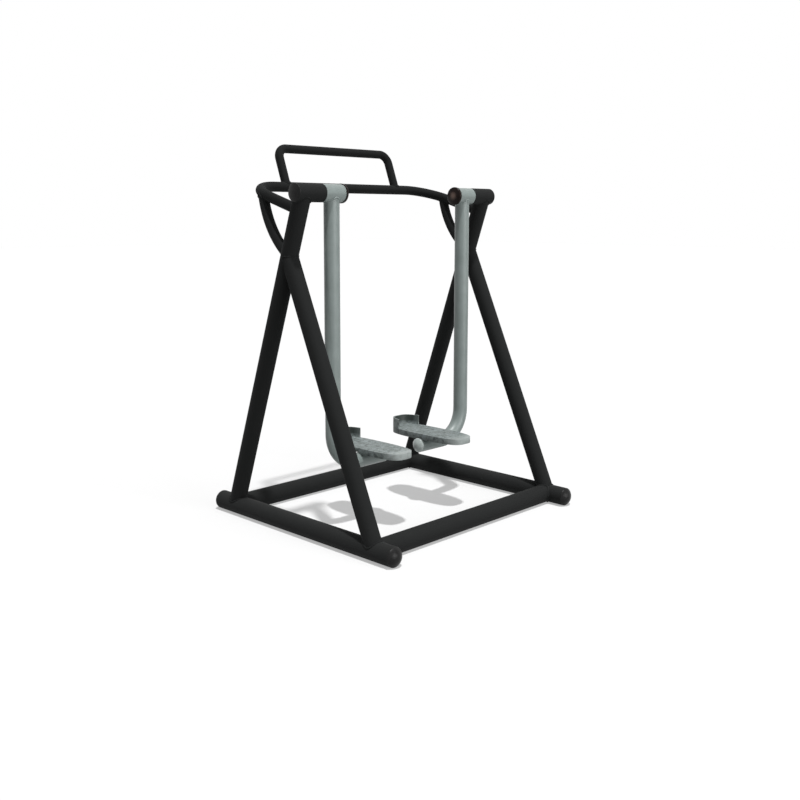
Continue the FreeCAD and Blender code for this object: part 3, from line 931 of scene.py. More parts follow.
@dataclass(frozen=True)
class WeldSeam:
    """The bead where a branch tube ends on one or more others."""

    branch: Tube
    hosts: tuple[Tube, ...]
    bead: float = 3.4 * MM
    ripple_pitch: float = 3.2 * MM
    ripple: float = 0.13
    steps_per_ripple: int = 4
    widest: float = 1.6
    lowest: float = 0.6 * MM

    def mesh(self) -> Mesh:
        """Spins a small round section about the branch and lets it follow the tubes it meets.

        Returns:
            The closed bead.
        """
        radius = self.branch.radius
        ripples = round(2 * math.pi * radius / self.ripple_pitch)
        steps = ripples * self.steps_per_ripple
        bead = bmesh.new()
        bmesh.ops.create_circle(bead, segments=BEAD_SIDES, radius=self.bead)
        bmesh.ops.rotate(bead, verts=bead.verts, matrix=Matrix.Rotation(math.pi / 2, 3, "X"))
        bmesh.ops.translate(bead, verts=bead.verts, vec=(radius, 0, 0))
        spin_round(bead, steps)
        place = stand_on(self.branch.start, self.branch.heading)
        turn = 2 * math.pi / steps
        heights = [self._height(place, step * turn) for step in range(steps)]
        for vert in bead.verts:
            angle = math.atan2(vert.co.y, vert.co.x) % (2 * math.pi)
            step = round(angle / turn) % steps
            slope = (heights[(step + 1) % steps] - heights[step - 1]) / (2 * turn * radius)
            phase = (step % self.steps_per_ripple) / self.steps_per_ripple
            swell = 1.0 + self.ripple * math.cos(2 * math.pi * phase)
            outward = math.hypot(vert.co.x, vert.co.y) - radius
            far = radius + outward * swell
            rise = vert.co.z * swell * min(math.hypot(1.0, slope), self.widest)
            spot = place @ Vector((math.cos(angle) * far, math.sin(angle) * far, heights[step] + rise))
            # The seam is dressed flush where the tube lies on the ground
            spot.z = max(spot.z, self.lowest)
            vert.co = spot
        turn_outwards(bead)
        return bead

    def _height(self, place: Matrix, angle: float) -> float:
        """How far out along the branch the seam lies.

        Args:
            place: The branch's placement.
            angle: The direction round the branch.

        Returns:
            The distance from the branch's start.
        """
        radius = self.branch.radius
        rim = place @ Vector((math.cos(angle) * radius, math.sin(angle) * radius, 0))
        found = [host.reach(rim, self.branch.heading) for host in self.hosts]
        met = [distance for distance, inside in found if inside]
        return max(met) if met else found[0][0]


@dataclass(frozen=True)
class CapSizes:
    """The sizes of a pressed-in cap along its axis, its wall and its rounded rim."""

    flange: float
    rise: float
    spigot: float
    cavity: float = 0.0
    wall: float = 3.0 * MM
    rim: float = 1.6 * MM


@dataclass(frozen=True)
class MouldedCap:
    """A cap that is pressed into a tube end: a spigot, a flange and a shallow dome."""

    base: Vector
    axis: Vector
    radius: float
    bore: float
    sizes: CapSizes
    dome_steps: int = 9
    round_steps: int = 56
    # The rim's rounding takes up to this share of the flange
    rim_share: float = 0.8

    def mesh(self) -> Mesh:
        """Spins the cap's profile and rounds its rim.

        Returns:
            The closed cap in its place.
        """
        sizes = self.sizes
        sphere = (self.radius ** 2 + sizes.rise ** 2) / (2 * sizes.rise)
        top = sizes.flange + sizes.rise
        cap = bmesh.new()
        sweep = bmesh.ops.spin(
            cap, geom=[cap.verts.new((0, 0, top))], cent=(0, 0, top - sphere), axis=(0, 1, 0),
            angle=math.asin(self.radius / sphere), steps=self.dome_steps,
        )
        last = verts_in(sweep["geom_last"])[0]
        way = math.copysign(1.0, last.co.x)
        outer = self.bore - SNUG
        inner = outer - sizes.wall
        for out, up in (
            (self.radius, 0.0),
            (outer, 0.0),
            (outer, -sizes.spigot),
            (inner, -sizes.spigot),
            (inner, sizes.cavity),
            (0.0, sizes.cavity),
        ):
            last = bmesh.ops.extrude_vert_indiv(cap, verts=[last])["verts"][0]
            last.co = (way * out, 0, up)
        spin_round(cap, self.round_steps)
        turn_outwards(cap)
        rims = []
        for edge in cap.edges:
            at_rim = all(math.hypot(v.co.x, v.co.y) > self.radius - NEAR for v in edge.verts)
            if at_rim and all(abs(v.co.z - sizes.flange) < NEAR for v in edge.verts):
                rims.append(edge)
        round_edges(cap, rims, min(sizes.rim, sizes.flange * self.rim_share), segments=4)
        bmesh.ops.transform(cap, matrix=stand_on(self.base, self.axis), verts=cap.verts)
        return cap


@dataclass
class SubAssembly:
    """Pieces that are built and dressed together."""

    frame: dict[str, Any]
    finishes: Finishes

    def build(self) -> None:
        """Adds the pieces that this file models, where there are any."""

    def dress(self) -> None:
        """Gives the CAD nodes that stay their finishes."""
        raise NotImplementedError

    def coat(self, material: Material, *nodes: str) -> None:
        """Gives CAD nodes one finish.

        Args:
            material: The finish.
            nodes: The nodes' names.
        """
        for node in nodes:
            target = self.frame["nodes"][node]
            if not target.material_slots:
                target.data.materials.append(material)
            for slot in target.material_slots:
                slot.material = material
            LOG.info("%s: %s", node, material.name)

    def weld(self, name: str, seams: list[Mesh], material: Material, body: str, slot: Slot) -> None:
        """Makes one piece of several weld beads.

        Args:
            name: The piece's name.
            seams: The beads, which are used up.
            material: The coat that covers them.
            body: The CAD body that they move with.
            slot: Not used.
        """
        joined = bmesh.new()
        for seam in seams:
            join_into(joined, seam)
        make_piece(name, joined, material, body, sharp_degrees=70.0)

    def cap(self, node: str, cap: MouldedCap, material: Material, body: str, slot: Slot) -> None:
        """Adds a cap in place of its CAD node.

        Args:
            node: The node's name.
            cap: The cap.
            material: Its finish.
            body: The CAD body that it moves with.
            slot: Not used.
        """
        piece = make_piece(f"{node}_moulded", cap.mesh(), material, body)
        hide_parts(node)


@dataclass
class SideAssembly(SubAssembly):
    """A sub-assembly that each side has."""

    side: Side

    def coat_parts(self, material: Material, *parts: str) -> None:
        """Gives this side's copies of some parts one finish."""
        self.coat(material, *(self.side.node(part) for part in parts))


@dataclass
class BaseFrame(SubAssembly):
    """The two side rails, the two cross tubes, and the seams and caps at their ends."""

    rail_x: float = 0.485
    rail_half: float = 0.470
    cross_y: float = 0.381
    radius: float = 0.035
    bore: float = 0.032
    rail_cap: CapSizes = CapSizes(flange=2.5 * MM, rise=18.0 * MM, spigot=20.0 * MM)

    def rail(self, side: Side) -> Tube:
        """The outside of a side rail."""
        start = side.point(self.rail_x, -self.rail_half, self.radius)
        return Tube(start, side.point(self.rail_x, self.rail_half, self.radius), self.radius)

    def cross(self, side: Side, way: int) -> Tube:
        """Half of a cross tube, from a rail's centre line to the middle.

        Args:
            side: The side that it starts on.
            way: 1 for the front tube and -1 for the rear one.

        Returns:
            The outside of the tube.
        """
        start = side.point(self.rail_x, way * self.cross_y, self.radius)
        return Tube(start, Vector((0, way * self.cross_y, self.radius)), self.radius)

    def build(self) -> None:
        """Adds the seams and the caps."""
        for side in Side:
            seams = [WeldSeam(self.cross(side, way), (self.rail(side),)).mesh() for way in (-1, 1)]
            self.weld(side.node("base_welds"), seams, self.finishes.base, FRAME_BODY, Slot.BLACK_COAT)
            for way, end in ((1, "front"), (-1, "rear")):
                tip = side.point(self.rail_x, way * self.rail_half, self.radius)
                cap = MouldedCap(tip, Vector((0, way, 0)), self.radius, self.bore, self.rail_cap)
                node = side.node(f"{end}_rail_cap")
                self.cap(node, cap, self.finishes.black_caps, FRAME_BODY, Slot.BLACK_PLASTIC)

    def dress(self) -> None:
        """Coats the tubes. The rails' coat is painted lighter as painted light, and people scuff it."""
        self.coat(self.finishes.base, "left_rail", "right_rail")
        self.coat(self.finishes.legs, "front_cross_tube", "rear_cross_tube")


@dataclass
class LegFrame(SideAssembly):
    """One side's legs, brace and pivot sleeve."""

    base: BaseFrame
    leg_radius: float = 31.75 * MM
    crossing_drop: float = 0.22
    sleeve_inner: float = 0.403
    sleeve_outer: float = 0.522
    sleeve_radius: float = 32.5 * MM
    sleeve_bore: float = 27.5 * MM
    sleeve_cap: CapSizes = CapSizes(flange=2.0 * MM, rise=5.0 * MM, spigot=14.0 * MM)
    brace_radius: float = 19.0 * MM
    brace_bend: float = 0.326
    brace_setback: float = 0.101
    # How far along its arc the brace comes out of the handlebar and of the legs
    brace_top_skip: float = 0.024
    brace_foot_skip: float = 0.045
    bar_end_drop: float = 60.0 * MM
    bar_bead: float = 2.8 * MM
    rear_leg_bead: float = 2.4 * MM
    brace_foot_bead: float = 2.2 * MM

    def leg_y(self, height: float) -> float:
        """Y of the front leg's centre line at a height."""
        share = (height - self.base.radius) / (PIVOT_Z - self.base.radius)
        return self.base.cross_y + share * (PIVOT_Y - self.base.cross_y)

    @property
    def crossing(self) -> Vector:
        """Where the rear leg and the brace meet the front leg."""
        height = PIVOT_Z - self.crossing_drop
        return self.side.point(self.base.rail_x, self.leg_y(height), height)

    @property
    def front_leg(self) -> Tube:
        """The front leg, from its foot up."""
        foot = self.side.point(self.base.rail_x, self.base.cross_y, self.base.radius)
        return Tube(foot, self.side.point(self.base.rail_x, PIVOT_Y, PIVOT_Z), self.leg_radius)

    @property
    def rear_leg(self) -> Tube:
        """The rear leg, from its foot up."""
        foot = self.side.point(self.base.rail_x, -self.base.cross_y, self.base.radius)
        return Tube(foot, self.crossing, self.leg_radius)

    @property
    def sleeve(self) -> Tube:
        """The pivot sleeve."""
        start = self.side.point(self.sleeve_inner, PIVOT_Y, PIVOT_Z)
        return Tube(start, self.side.point(self.sleeve_outer, PIVOT_Y, PIVOT_Z), self.sleeve_radius)

    @property
    def side_arm(self) -> Tube:
        """The handlebar's run along this side, from the leg forward."""
        low = PIVOT_Z - self.bar_end_drop
        start = self.side.point(self.base.rail_x, self.leg_y(low), low)
        return Tube(start, self.side.point(self.base.rail_x, BAR_Y, BAR_Z), BAR_RADIUS)

    def brace_end(self, at_top: bool, skip: float) -> Tube:
        """The brace near one of its ends, as a straight tube.

        Args:
            at_top: True for the end on the handlebar, False for the end on the legs.
            skip: How far along the arc the tube comes out of what it is welded to.

        Returns:
            The tube, with its start near the end of the brace.
        """
        arm = self.side_arm
        run = arm.start - arm.end
        top = arm.end + run * (self.brace_setback / abs(run.y))
        start, end = (top, self.crossing) if at_top else (self.crossing, top)
        chord = end - start
        bulge = Vector((1, 0, 0)).cross(self.crossing - top).normalized()
        half = math.asin(chord.length / 2 / self.brace_bend) - skip / self.brace_bend
        middle = (start + end) / 2
        hub = middle - bulge * math.sqrt(self.brace_bend ** 2 - (chord.length / 2) ** 2)
        ahead = chord.normalized()
        spot = hub + bulge * (self.brace_bend * math.cos(half))
        spot -= ahead * (self.brace_bend * math.sin(half))
        heading = ahead * math.cos(half) + bulge * math.sin(half)
        return Tube(spot - heading * skip, spot + heading * skip, self.brace_radius)

    def build(self) -> None:
        """Adds the seams and the sleeve's cap."""
        rail = self.base.rail(self.side)
        upward, rear = self.front_leg, self.rear_leg
        downward = Tube(upward.end, upward.start, upward.radius)
        rear_down = Tube(rear.end, rear.start, rear.radius)
        brace_top = self.brace_end(True, self.brace_top_skip)
        brace_foot = self.brace_end(False, self.brace_foot_skip)
        seams = [
            WeldSeam(upward, (rail, self.base.cross(self.side, 1))),
            WeldSeam(rear, (rail, self.base.cross(self.side, -1))),
            WeldSeam(rear_down, (upward,), self.rear_leg_bead),
            WeldSeam(downward, (self.sleeve,)),
            WeldSeam(brace_top, (self.side_arm,), self.bar_bead),
            WeldSeam(brace_foot, (upward, rear), self.brace_foot_bead),
            WeldSeam(self.side_arm, (upward,), self.bar_bead),
        ]
        beads = [seam.mesh() for seam in seams]
        self.weld(self.side.node("leg_welds"), beads, self.finishes.legs, FRAME_BODY, Slot.BLACK_COAT)
        sleeve = self.sleeve
        cap = MouldedCap(sleeve.end, sleeve.heading, sleeve.radius, self.sleeve_bore, self.sleeve_cap)
        node = self.side.node("sleeve_cap")
        self.cap(node, cap, self.finishes.black_caps, FRAME_BODY, Slot.BLACK_PLASTIC)

    def dress(self) -> None:
        """Coats the tubes."""
        self.coat_parts(self.finishes.legs, "front_leg", "rear_leg", "brace", "pivot_sleeve")


@dataclass
class Handlebars(SubAssembly):
    """The U of the handlebar and the raised handle on its front bar."""

    straight_half: float = 0.350
    handle_x: float = 0.294
    handle_rise: float = 0.147
    handle_lean: float = 0.054
    handle_radius: float = 16.85 * MM
    bead: float = 2.6 * MM

    def build(self) -> None:
        """Adds the seams at the feet of the raised handle."""
        left = Vector((-self.straight_half, BAR_Y, BAR_Z))
        bar = Tube(left, Vector((self.straight_half, BAR_Y, BAR_Z)), BAR_RADIUS)
        seams = []
        for side in Side:
            foot = side.point(self.handle_x, BAR_Y, BAR_Z)
            top = foot + Vector((0, self.handle_lean, self.handle_rise))
            seams.append(WeldSeam(Tube(foot, top, self.handle_radius), (bar,), self.bead).mesh())
        self.weld("handle_welds", seams, self.finishes.grips, FRAME_BODY, Slot.BLACK_COAT)

    def dress(self) -> None:
        """Coats the tubes."""
        self.coat(self.finishes.grips, "handlebar", "upper_handle")


@dataclass
class PivotBearing(SideAssembly):
    """The fixed axle, its bearings and its stop inside one housing."""

    def dress(self) -> None:
        """Gives the steel parts their finishes."""
        self.coat_parts(
            self.finishes.turned,
            "axle", "axle_inner_disc", "axle_outer_disc", "stop_pin", "stop_ring", "bearing_spacer",
        )
        self.coat_parts(
            self.finishes.ground, "bearing_inner_rings", "bearing_outer_rings", "bearing_balls"
        )
        self.coat_parts(self.finishes.plated, "axle_washer", "axle_nut")


@dataclass
class SwingArm(SideAssembly):
    """One swing arm with its housing, hub cap, end cap, bracket and their seams."""

    housing_inner: float = 0.311
    housing_outer: float = 0.401
    housing_radius: float = 32.5 * MM
    seat_radius: float = 27.5 * MM
    hub_overhang: float = 2.5 * MM
    hub_cap: CapSizes = CapSizes(
        flange=9.0 * MM, rise=6.0 * MM, spigot=6.0 * MM, cavity=10.0 * MM, rim=2.6 * MM
    )
    arm_x: float = 0.354
    arm_radius: float = 28.5 * MM
    arm_bore: float = 25.0 * MM
    arm_straight: float = 0.5
    stub_end: float = 0.100
    stub_cap: CapSizes = CapSizes(flange=1.5 * MM, rise=12.0 * MM, spigot=16.0 * MM)
    saddle_half: float = 23.0 * MM
    saddle_bottom: float = 0.2546
    bead: float = 3.0 * MM
    arc_steps: int = 48

    def build(self) -> None:
        """Adds the seams and the two caps."""
        pivot = self.side.point(self.arm_x, PIVOT_Y, PIVOT_Z)
        arm = Tube(pivot, pivot - Vector((0, 0, self.arm_straight)), self.arm_radius)
        inboard = self.side.point(self.housing_inner, PIVOT_Y, PIVOT_Z)
        outboard = self.side.point(self.housing_outer, PIVOT_Y, PIVOT_Z)
        housing = Tube(inboard, outboard, self.housing_radius)
        beads = [WeldSeam(arm, (housing,)).mesh(), *self.saddle_seams()]
        body = self.side.swing
        self.weld(self.side.node("arm_welds"), beads, self.finishes.arms, body, Slot.GREY_COAT)
        inward = Vector((-self.side.value, 0, 0))
        rim = self.housing_radius + self.hub_overhang
        hub = MouldedCap(inboard, inward, rim, self.seat_radius, self.hub_cap)
        self.cap(self.side.node("hub_cap"), hub, self.finishes.brown_caps, body, Slot.BROWN_PLASTIC)
        tip = self.side.point(self.stub_end, PIVOT_Y, STUB_Z)
        end = MouldedCap(tip, inward, self.arm_radius, self.arm_bore, self.stub_cap)
        self.cap(self.side.node("arm_end_cap"), end, self.finishes.grey_caps, body, Slot.GREY_PLASTIC)

    def saddle_seams(self) -> list[Mesh]:
        """The beads between the bracket's saddle and the stub, two round it and two along it.

        Returns:
            Four closed beads in their places.
        """
        spread = math.acos((self.saddle_bottom - STUB_Z) / self.arm_radius)
        middle = self.side.value * PEDAL_X
        beads = []
        for way in (-1, 1):
            arc = bmesh.new()
            bmesh.ops.create_circle(arc, cap_ends=True, segments=BEAD_SIDES, radius=self.bead)
            bmesh.ops.rotate(arc, verts=arc.verts, matrix=Matrix.Rotation(math.pi / 2, 3, "X"))
            bmesh.ops.translate(arc, verts=arc.verts, vec=(0, 0, self.arm_radius))
            bmesh.ops.rotate(arc, verts=arc.verts, matrix=Matrix.Rotation(-spread, 3, "X"))
            bmesh.ops.spin(
                arc, geom=arc.verts[:] + arc.edges[:] + arc.faces[:], cent=(0, 0, 0),
                axis=(1, 0, 0), angle=2 * spread, steps=self.arc_steps,
            )
            place = (middle + way * self.saddle_half, PIVOT_Y, STUB_Z)
            bmesh.ops.translate(arc, verts=arc.verts, vec=place)
            turn_outwards(arc)
            beads.append(arc)
        for way in (-1, 1):
            run = bmesh.new()
            aside = PIVOT_Y + way * self.arm_radius * math.sin(spread)
            place = Matrix.Translation((middle, aside, self.saddle_bottom))
            lying = place @ Matrix.Rotation(math.pi / 2, 4, "Y")
            add_bar(run, lying, self.bead, 2 * self.saddle_half, BEAD_SIDES)
            beads.append(run)
        return beads

    def dress(self) -> None:
        """Coats the arm, its housing and the bracket."""
        self.coat_parts(self.finishes.arms, "swing_arm", "bearing_housing", "pedal_bracket")


@dataclass
class Pedal(SideAssembly):
    """A cast foot tray with a toe guard, on four bolts."""

    centre_y: float = -0.037
    top_z: float = 0.2835
    half_length: float = 0.184
    half_width: float = 0.067
    roundness: float = 3.2
    outline_points: int = 128
    depth: float = 22.5 * MM
    skin: float = 5.0 * MM
    wall: float = 4.5 * MM
    guard_wall: float = 5.0 * MM
    guard_height: float = 38.0 * MM
    guard_length: float = 63.0 * MM
    # In square metres: the rim that the guard stands on is smaller, and the tread is larger
    largest_rim: float = 0.001
    fillet: float = 1.9 * MM
    fillet_degrees: float = 40.0
    notch_radius: float = 31.5 * MM
    notch_cuts: int = 6
    # How far studs, ribs and bosses are rooted in the skin
    root: float = 0.5 * MM
    stud_radius: float = 3.5 * MM
    stud_taper: float = 0.78
    stud_height: float = 1.0 * MM
    stud_round: float = 0.5 * MM
    stud_pitch_x: float = 20.0 * MM
    stud_pitch_y: float = 22.0 * MM
    stud_margin: float = 12.0 * MM
    rib_pitch: float = 60.0 * MM
    rib_count: int = 5
    rib_thickness: float = 3.0 * MM
    rib_round: float = 0.7 * MM
    plate_top: float = 0.2706
    plate_bottom: float = 0.2646
    bolt_x: float = 30.0 * MM
    bolt_y: float = 75.0 * MM
    bolt_radius: float = 4.0 * MM
    bolt_reach: float = 9.5 * MM
    head_flats: float = 13.0 * MM
    head_height: float = 5.3 * MM
    head_chamfer: float = 0.9 * MM
    washer: float = 1.6 * MM
    boss_radius: float = 9.0 * MM

    @property
    def roof(self) -> float:
        """The top of the ribs and bosses, from the tread down."""
        return -self.skin + self.root

    @property
    def floor(self) -> float:
        """Where the ribs and bosses meet the bracket's plate, from the tread down."""
        return self.plate_top - self.top_z

    @property
    def bolt_spots(self) -> list[tuple[float, float]]:
        """The four bolts' places from the pedal's centre."""
        return [(x * self.bolt_x, y * self.bolt_y) for x in (-1, 1) for y in (-1, 1)]

    def build(self) -> None:
        """Casts the pedal and puts its bolts in."""
        casting = self.tray()
        for detail in (self.studs(), self.ribs(), self.bosses()):
            join_into(casting, detail)
        place = self.side.point(PEDAL_X, self.centre_y, self.top_z)
        body = self.side.swing
        bmesh.ops.translate(casting, verts=casting.verts, vec=place)
        node = self.side.node("pedal")
        piece = make_piece(f"{node}_casting", casting, self.finishes.pedals, body)
        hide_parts(node)
        bolts = self.bolts()
        bmesh.ops.translate(bolts, verts=bolts.verts, vec=place)
        node = self.side.node("pedal_bolts")
        piece = make_piece(f"{node}_m8", bolts, self.finishes.plated, body, 30.0)
        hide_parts(node)

    def dress(self) -> None:
        """Plates the washers."""
        self.coat_parts(self.finishes.plated, "pedal_washers")

    def half_width_at(self, y: float, inset: float) -> float:
        """Half the width inside the outline at a distance from the pedal's centre.

        Args:
            y: The distance along the pedal.
            inset: How far inside the outline.

        Returns:
            Half the width.
        """
        share = abs(y) / (self.half_length - inset)
        return (self.half_width - inset) * (1 - share ** self.roundness) ** (1 / self.roundness)

    def tray(self) -> Mesh:
        """The skin, skirt and toe guard as one shell, with its top at height 0.

        Returns:
            The closed shell with rounded edges.
        """
        tray = bmesh.new()
        bmesh.ops.create_circle(tray, cap_ends=True, segments=self.outline_points, radius=1.0)
        power = 2 / self.roundness
        for vert in tray.verts:
            across, along = vert.co.x, vert.co.y
            vert.co.x = math.copysign(abs(across) ** power, across) * self.half_width
            vert.co.y = math.copysign(abs(along) ** power, along) * self.half_length
        lift(tray, tray.faces[:], -self.depth)
        bmesh.ops.recalc_face_normals(tray, faces=tray.faces)
        top = next(face for face in tray.faces if face.normal.z > 0.9)
        under = next(face for face in tray.faces if face.normal.z < -0.9)
        bmesh.ops.inset_region(tray, faces=[under], thickness=self.wall, use_even_offset=True)
        pull(tray, [under], self.depth - self.skin)
        rim = bmesh.ops.inset_region(
            tray, faces=[top], thickness=self.guard_wall, use_even_offset=True
        )["faces"]
        toe = self.half_length - self.guard_length
        bmesh.ops.bisect_plane(
            tray, geom=with_borders(rim), dist=MERGE, plane_co=(0, toe, 0), plane_no=(0, 1, 0)
        )
        guard = []
        for face in tray.faces:
            middle = face.calc_center_median()
            on_rim = face.normal.z > 0.9 and middle.z > -NEAR and face.calc_area() < self.largest_rim
            if on_rim and middle.y > toe:
                guard.append(face)
        pull(tray, guard, self.guard_height)
        bmesh.ops.dissolve_degenerate(tray, dist=NEAR, edges=tray.edges)
        turn_outwards(tray)
        sharp = []
        for edge in tray.edges:
            if len(edge.link_faces) == 2 and edge.calc_face_angle() > math.radians(self.fillet_degrees):
                sharp.append(edge)
        round_edges(tray, sharp, self.fillet, segments=3, clamp=True)
        self._notch(tray)
        return tray

    def _notch(self, tray: Mesh) -> None:
        """Arches the skirt's lower edge over the stub.

        Args:
            tray: The shell.
        """
        centre = PIVOT_Y - self.centre_y
        drop = self.top_z - self.depth - STUB_Z
        half = math.sqrt(self.notch_radius ** 2 - drop ** 2)
        skirt = [face for face in tray.faces if face.calc_center_median().z < -self.depth / 3]
        for step in range(-self.notch_cuts, self.notch_cuts + 1):
            plane = (0, centre + half * step / self.notch_cuts, 0)
            cut = bmesh.ops.bisect_plane(
                tray, geom=with_borders(skirt), dist=MERGE, plane_co=plane, plane_no=(0, 1, 0)
            )["geom"]
            skirt = [item for item in cut if isinstance(item, Face)]
        for vert in tray.verts:
            aside = abs(vert.co.y - centre)
            if vert.co.z < -self.depth / 2 and aside < half:
                vert.co.z += math.sqrt(self.notch_radius ** 2 - aside ** 2) - drop

    def studs(self) -> Mesh:
        """Raised studs in staggered rows.

        Returns:
            The studs, sunk a little into the tray's top.
        """
        studs = bmesh.new()
        bmesh.ops.create_cone(
            studs, cap_ends=True, segments=12, radius1=self.stud_radius,
            radius2=self.stud_radius * self.stud_taper, depth=self.stud_height + self.root,
        )
        crown = [edge for edge in studs.edges if all(v.co.z > 0 for v in edge.verts)]
        round_edges(studs, crown, self.stud_round)
        stud = studs.verts[:] + studs.edges[:] + studs.faces[:]
        rows = int(self.half_length / self.stud_pitch_y)
        columns = int(self.half_width / self.stud_pitch_x) + 1
        spots = []
        for row in range(-rows, rows + 1):
            for column in range(-columns, columns + 1):
                x = (column + 0.5 * (row % 2)) * self.stud_pitch_x
                y = row * self.stud_pitch_y
                edge = abs(x / (self.half_width - self.stud_margin)) ** self.roundness
                edge += abs(y / (self.half_length - self.stud_margin)) ** self.roundness
                if edge < 1:
                    spots.append(Vector((x, y, (self.stud_height - self.root) / 2)))
        for spot in spots[1:]:
            copy = bmesh.ops.duplicate(studs, geom=stud)["geom"]
            bmesh.ops.translate(studs, verts=verts_in(copy), vec=spot)
        bmesh.ops.translate(studs, verts=verts_in(stud), vec=spots[0])
        return studs

    def ribs(self) -> Mesh:
        """Ribs across the underside, down to the bracket's plate.

        Returns:
            The ribs with rounded lower edges.
        """
        ribs = bmesh.new()
        for index in range(self.rib_count):
            y = (index - (self.rib_count - 1) / 2) * self.rib_pitch
            length = 2 * self.half_width_at(y, self.wall / 2)
            size = Matrix.Diagonal((length, self.rib_thickness, self.roof - self.floor, 1.0))
            place = Matrix.Translation((0, y, (self.roof + self.floor) / 2))
            bmesh.ops.create_cube(ribs, size=1.0, matrix=place @ size)
        lower = [edge for edge in ribs.edges if all(v.co.z < self.floor + NEAR for v in edge.verts)]
        round_edges(ribs, lower, self.rib_round)
        return ribs

    def bosses(self) -> Mesh:
        """Round bosses that take the bolts.

        Returns:
            The bosses.
        """
        bosses = bmesh.new()
        for x, y in self.bolt_spots:
            place = Matrix.Translation((x, y, (self.roof + self.floor) / 2))
            add_bar(bosses, place, self.boss_radius, self.roof - self.floor, 32)
        return bosses

    def bolts(self) -> Mesh:
        """Hexagon bolts with chamfered heads, screwed in from below.

        Returns:
            The bolts.
        """
        top = self.plate_top + self.bolt_reach - self.top_z
        seat = self.plate_bottom - self.top_z - self.washer
        middle = seat - self.head_height / 2
        corner = self.head_flats / math.sqrt(3)
        bolts = bmesh.new()
        for x, y in self.bolt_spots:
            head = add_bar(bolts, Matrix.Translation((x, y, middle)), corner, self.head_height, 6)
            lower: dict[Edge, None] = {}
            for vert in head:
                for edge in vert.link_edges:
                    if all(v.co.z < middle for v in edge.verts):
                        lower[edge] = None
            round_edges(bolts, list(lower), self.head_chamfer)
            place = Matrix.Translation((x, y, (top + seat) / 2))
            add_bar(bolts, place, self.bolt_radius, top - seat, 24)
        return bolts


@dataclass(frozen=True)
class PhotoCamera:
    """The photograph's view, solved from the edges of the tubes."""

    spot: tuple[float, float, float] = (-2.6666, -2.6034, 1.14)
    pitch: float = math.pi / 2 - 0.1265
    heading: float = -0.7929
    lens: float = 43.645
    sensor_width: float = 36.0
    shift_x: float = 0.01155
    shift_y: float = -0.0756

    def place(self) -> None:
        """Makes the camera and hands it to the scene."""
        data = bpy.data.cameras.new("photo_camera")
        data.lens = self.lens
        data.sensor_width = self.sensor_width
        data.shift_x = self.shift_x
        data.shift_y = self.shift_y
        camera = bpy.data.objects.new("photo_camera", data)
        camera.location = self.spot
        camera.rotation_euler = (self.pitch, 0.0, self.heading)
        bpy.context.scene.collection.objects.link(camera)
        bpy.context.scene.camera = camera


@dataclass(frozen=True)
class Lamp:
    """A distant lamp: its direction from the walker, its strength and its width in degrees."""

    name: str
    way: tuple[float, float, float]
    strength: float
    softness: float

    def hang(self) -> None:
        """Hangs the lamp."""
        data = bpy.data.lights.new(self.name, "SUN")
        data.energy = self.strength
        data.angle = math.radians(self.softness)
        lamp = bpy.data.objects.new(self.name, data)
        lamp.rotation_mode = "QUATERNION"
        lamp.rotation_quaternion = Vector((0, 0, 1)).rotation_difference(Vector(self.way).normalized())
        bpy.context.scene.collection.objects.link(lamp)


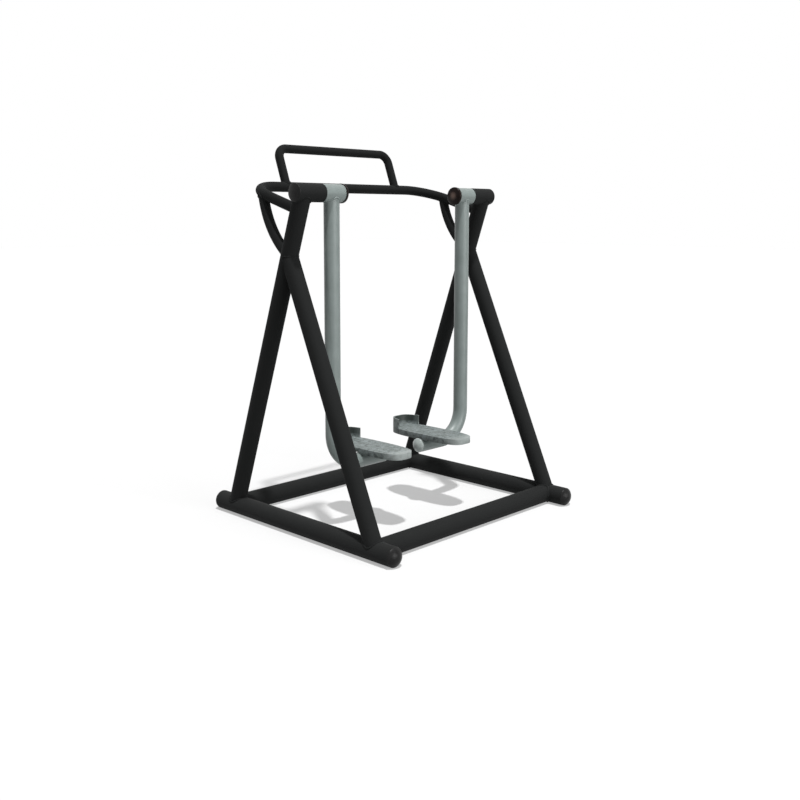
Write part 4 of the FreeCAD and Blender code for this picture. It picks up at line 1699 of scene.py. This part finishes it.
@dataclass(frozen=True)
class Studio:
    """A plain pale floor under soft light from above."""

    floor_size: float = 60.0
    floor_colour: str = "#adadad"
    floor_lift: float = 0.4
    fill: float = 0.21
    lamps: tuple[Lamp, ...] = (
        Lamp("key_lamp", way=(-0.11, -0.22, 1.0), strength=3.7, softness=3.0),
        Lamp("side_lamp", way=(0.12, -1.0, 0.15), strength=2.55, softness=40.0),
    )

    def build(self) -> None:
        """Sets the studio up."""
        self.lay_floor()
        self.light_world()
        for lamp in self.lamps:
            lamp.hang()
        bpy.context.scene.view_settings.view_transform = "Standard"

    def lay_floor(self) -> None:
        """Lays the floor, which takes the shadow and otherwise looks white."""
        sheet = bmesh.new()
        bmesh.ops.create_grid(sheet, x_segments=1, y_segments=1, size=self.floor_size / 2)
        data = bpy.data.meshes.new("studio_floor")
        sheet.to_mesh(data)
        sheet.free()
        material, graph = start_material("matt_paper_floor")
        seen = add_node(
            graph, "ShaderNodeMath", {"operation": "MULTIPLY", 1: self.floor_lift},
            {0: self._shown(graph)},
        )
        matt = add_node(graph, "ShaderNodeBsdfDiffuse", {"Color": linear(self.floor_colour)})
        glow = add_node(graph, "ShaderNodeEmission", links={"Strength": seen.outputs["Value"]})
        both = add_node(
            graph, "ShaderNodeAddShader", links={0: matt.outputs["BSDF"], 1: glow.outputs["Emission"]}
        )
        add_node(graph, "ShaderNodeOutputMaterial", links={"Surface": both.outputs["Shader"]})
        data.materials.append(material)
        floor = bpy.data.objects.new("studio_floor", data)
        bpy.context.scene.collection.objects.link(floor)

    def light_world(self) -> None:
        """Fills the room with even light and shows white to the camera and to reflections."""
        world = bpy.data.worlds.new("plain_white_room")
        bpy.context.scene.world = world
        world.use_nodes = True
        graph = world.node_tree
        graph.nodes.clear()
        white = linear("#ffffff")
        fill = add_node(graph, "ShaderNodeBackground", {"Color": white, "Strength": self.fill})
        plain = add_node(graph, "ShaderNodeBackground", {"Color": white, "Strength": 1.0})
        mixed = add_node(
            graph, "ShaderNodeMixShader",
            links={
                0: self._shown(graph),
                1: fill.outputs["Background"],
                2: plain.outputs["Background"],
            },
        )
        add_node(graph, "ShaderNodeOutputWorld", links={"Surface": mixed.outputs["Shader"]})

    def _shown(self, graph: Graph) -> Socket:
        """Tells what the camera sees, also in metal and glass, from what only gives light.

        Args:
            graph: The node tree that asks.

        Returns:
            1 for camera, glossy and transmission rays, and 0 for all others.
        """
        light = add_node(graph, "ShaderNodeLightPath")
        glossy = add_node(
            graph, "ShaderNodeMath", {"operation": "MAXIMUM"},
            {0: light.outputs["Is Camera Ray"], 1: light.outputs["Is Glossy Ray"]},
        )
        shown = add_node(
            graph, "ShaderNodeMath", {"operation": "MAXIMUM"},
            {0: glossy.outputs["Value"], 1: light.outputs["Is Transmission Ray"]},
        )
        return shown.outputs["Value"]


def main() -> None:
    """Loads the frame, builds and dresses every sub-assembly."""
    logging.basicConfig(level=logging.INFO, format="%(name)s: %(message)s")
    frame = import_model()
    PhotoCamera().place()
    Studio().build()
    finishes = Finishes()
    base = BaseFrame(frame, finishes)
    parts: list[SubAssembly] = [base, Handlebars(frame, finishes)]
    for side in Side:
        parts.append(LegFrame(frame, finishes, side, base))
        parts.append(SwingArm(frame, finishes, side))
        parts.append(Pedal(frame, finishes, side))
        parts.append(PivotBearing(frame, finishes, side))
    for part in parts:
        part.build()
        part.dress()


if __name__ == "__main__":
    main()
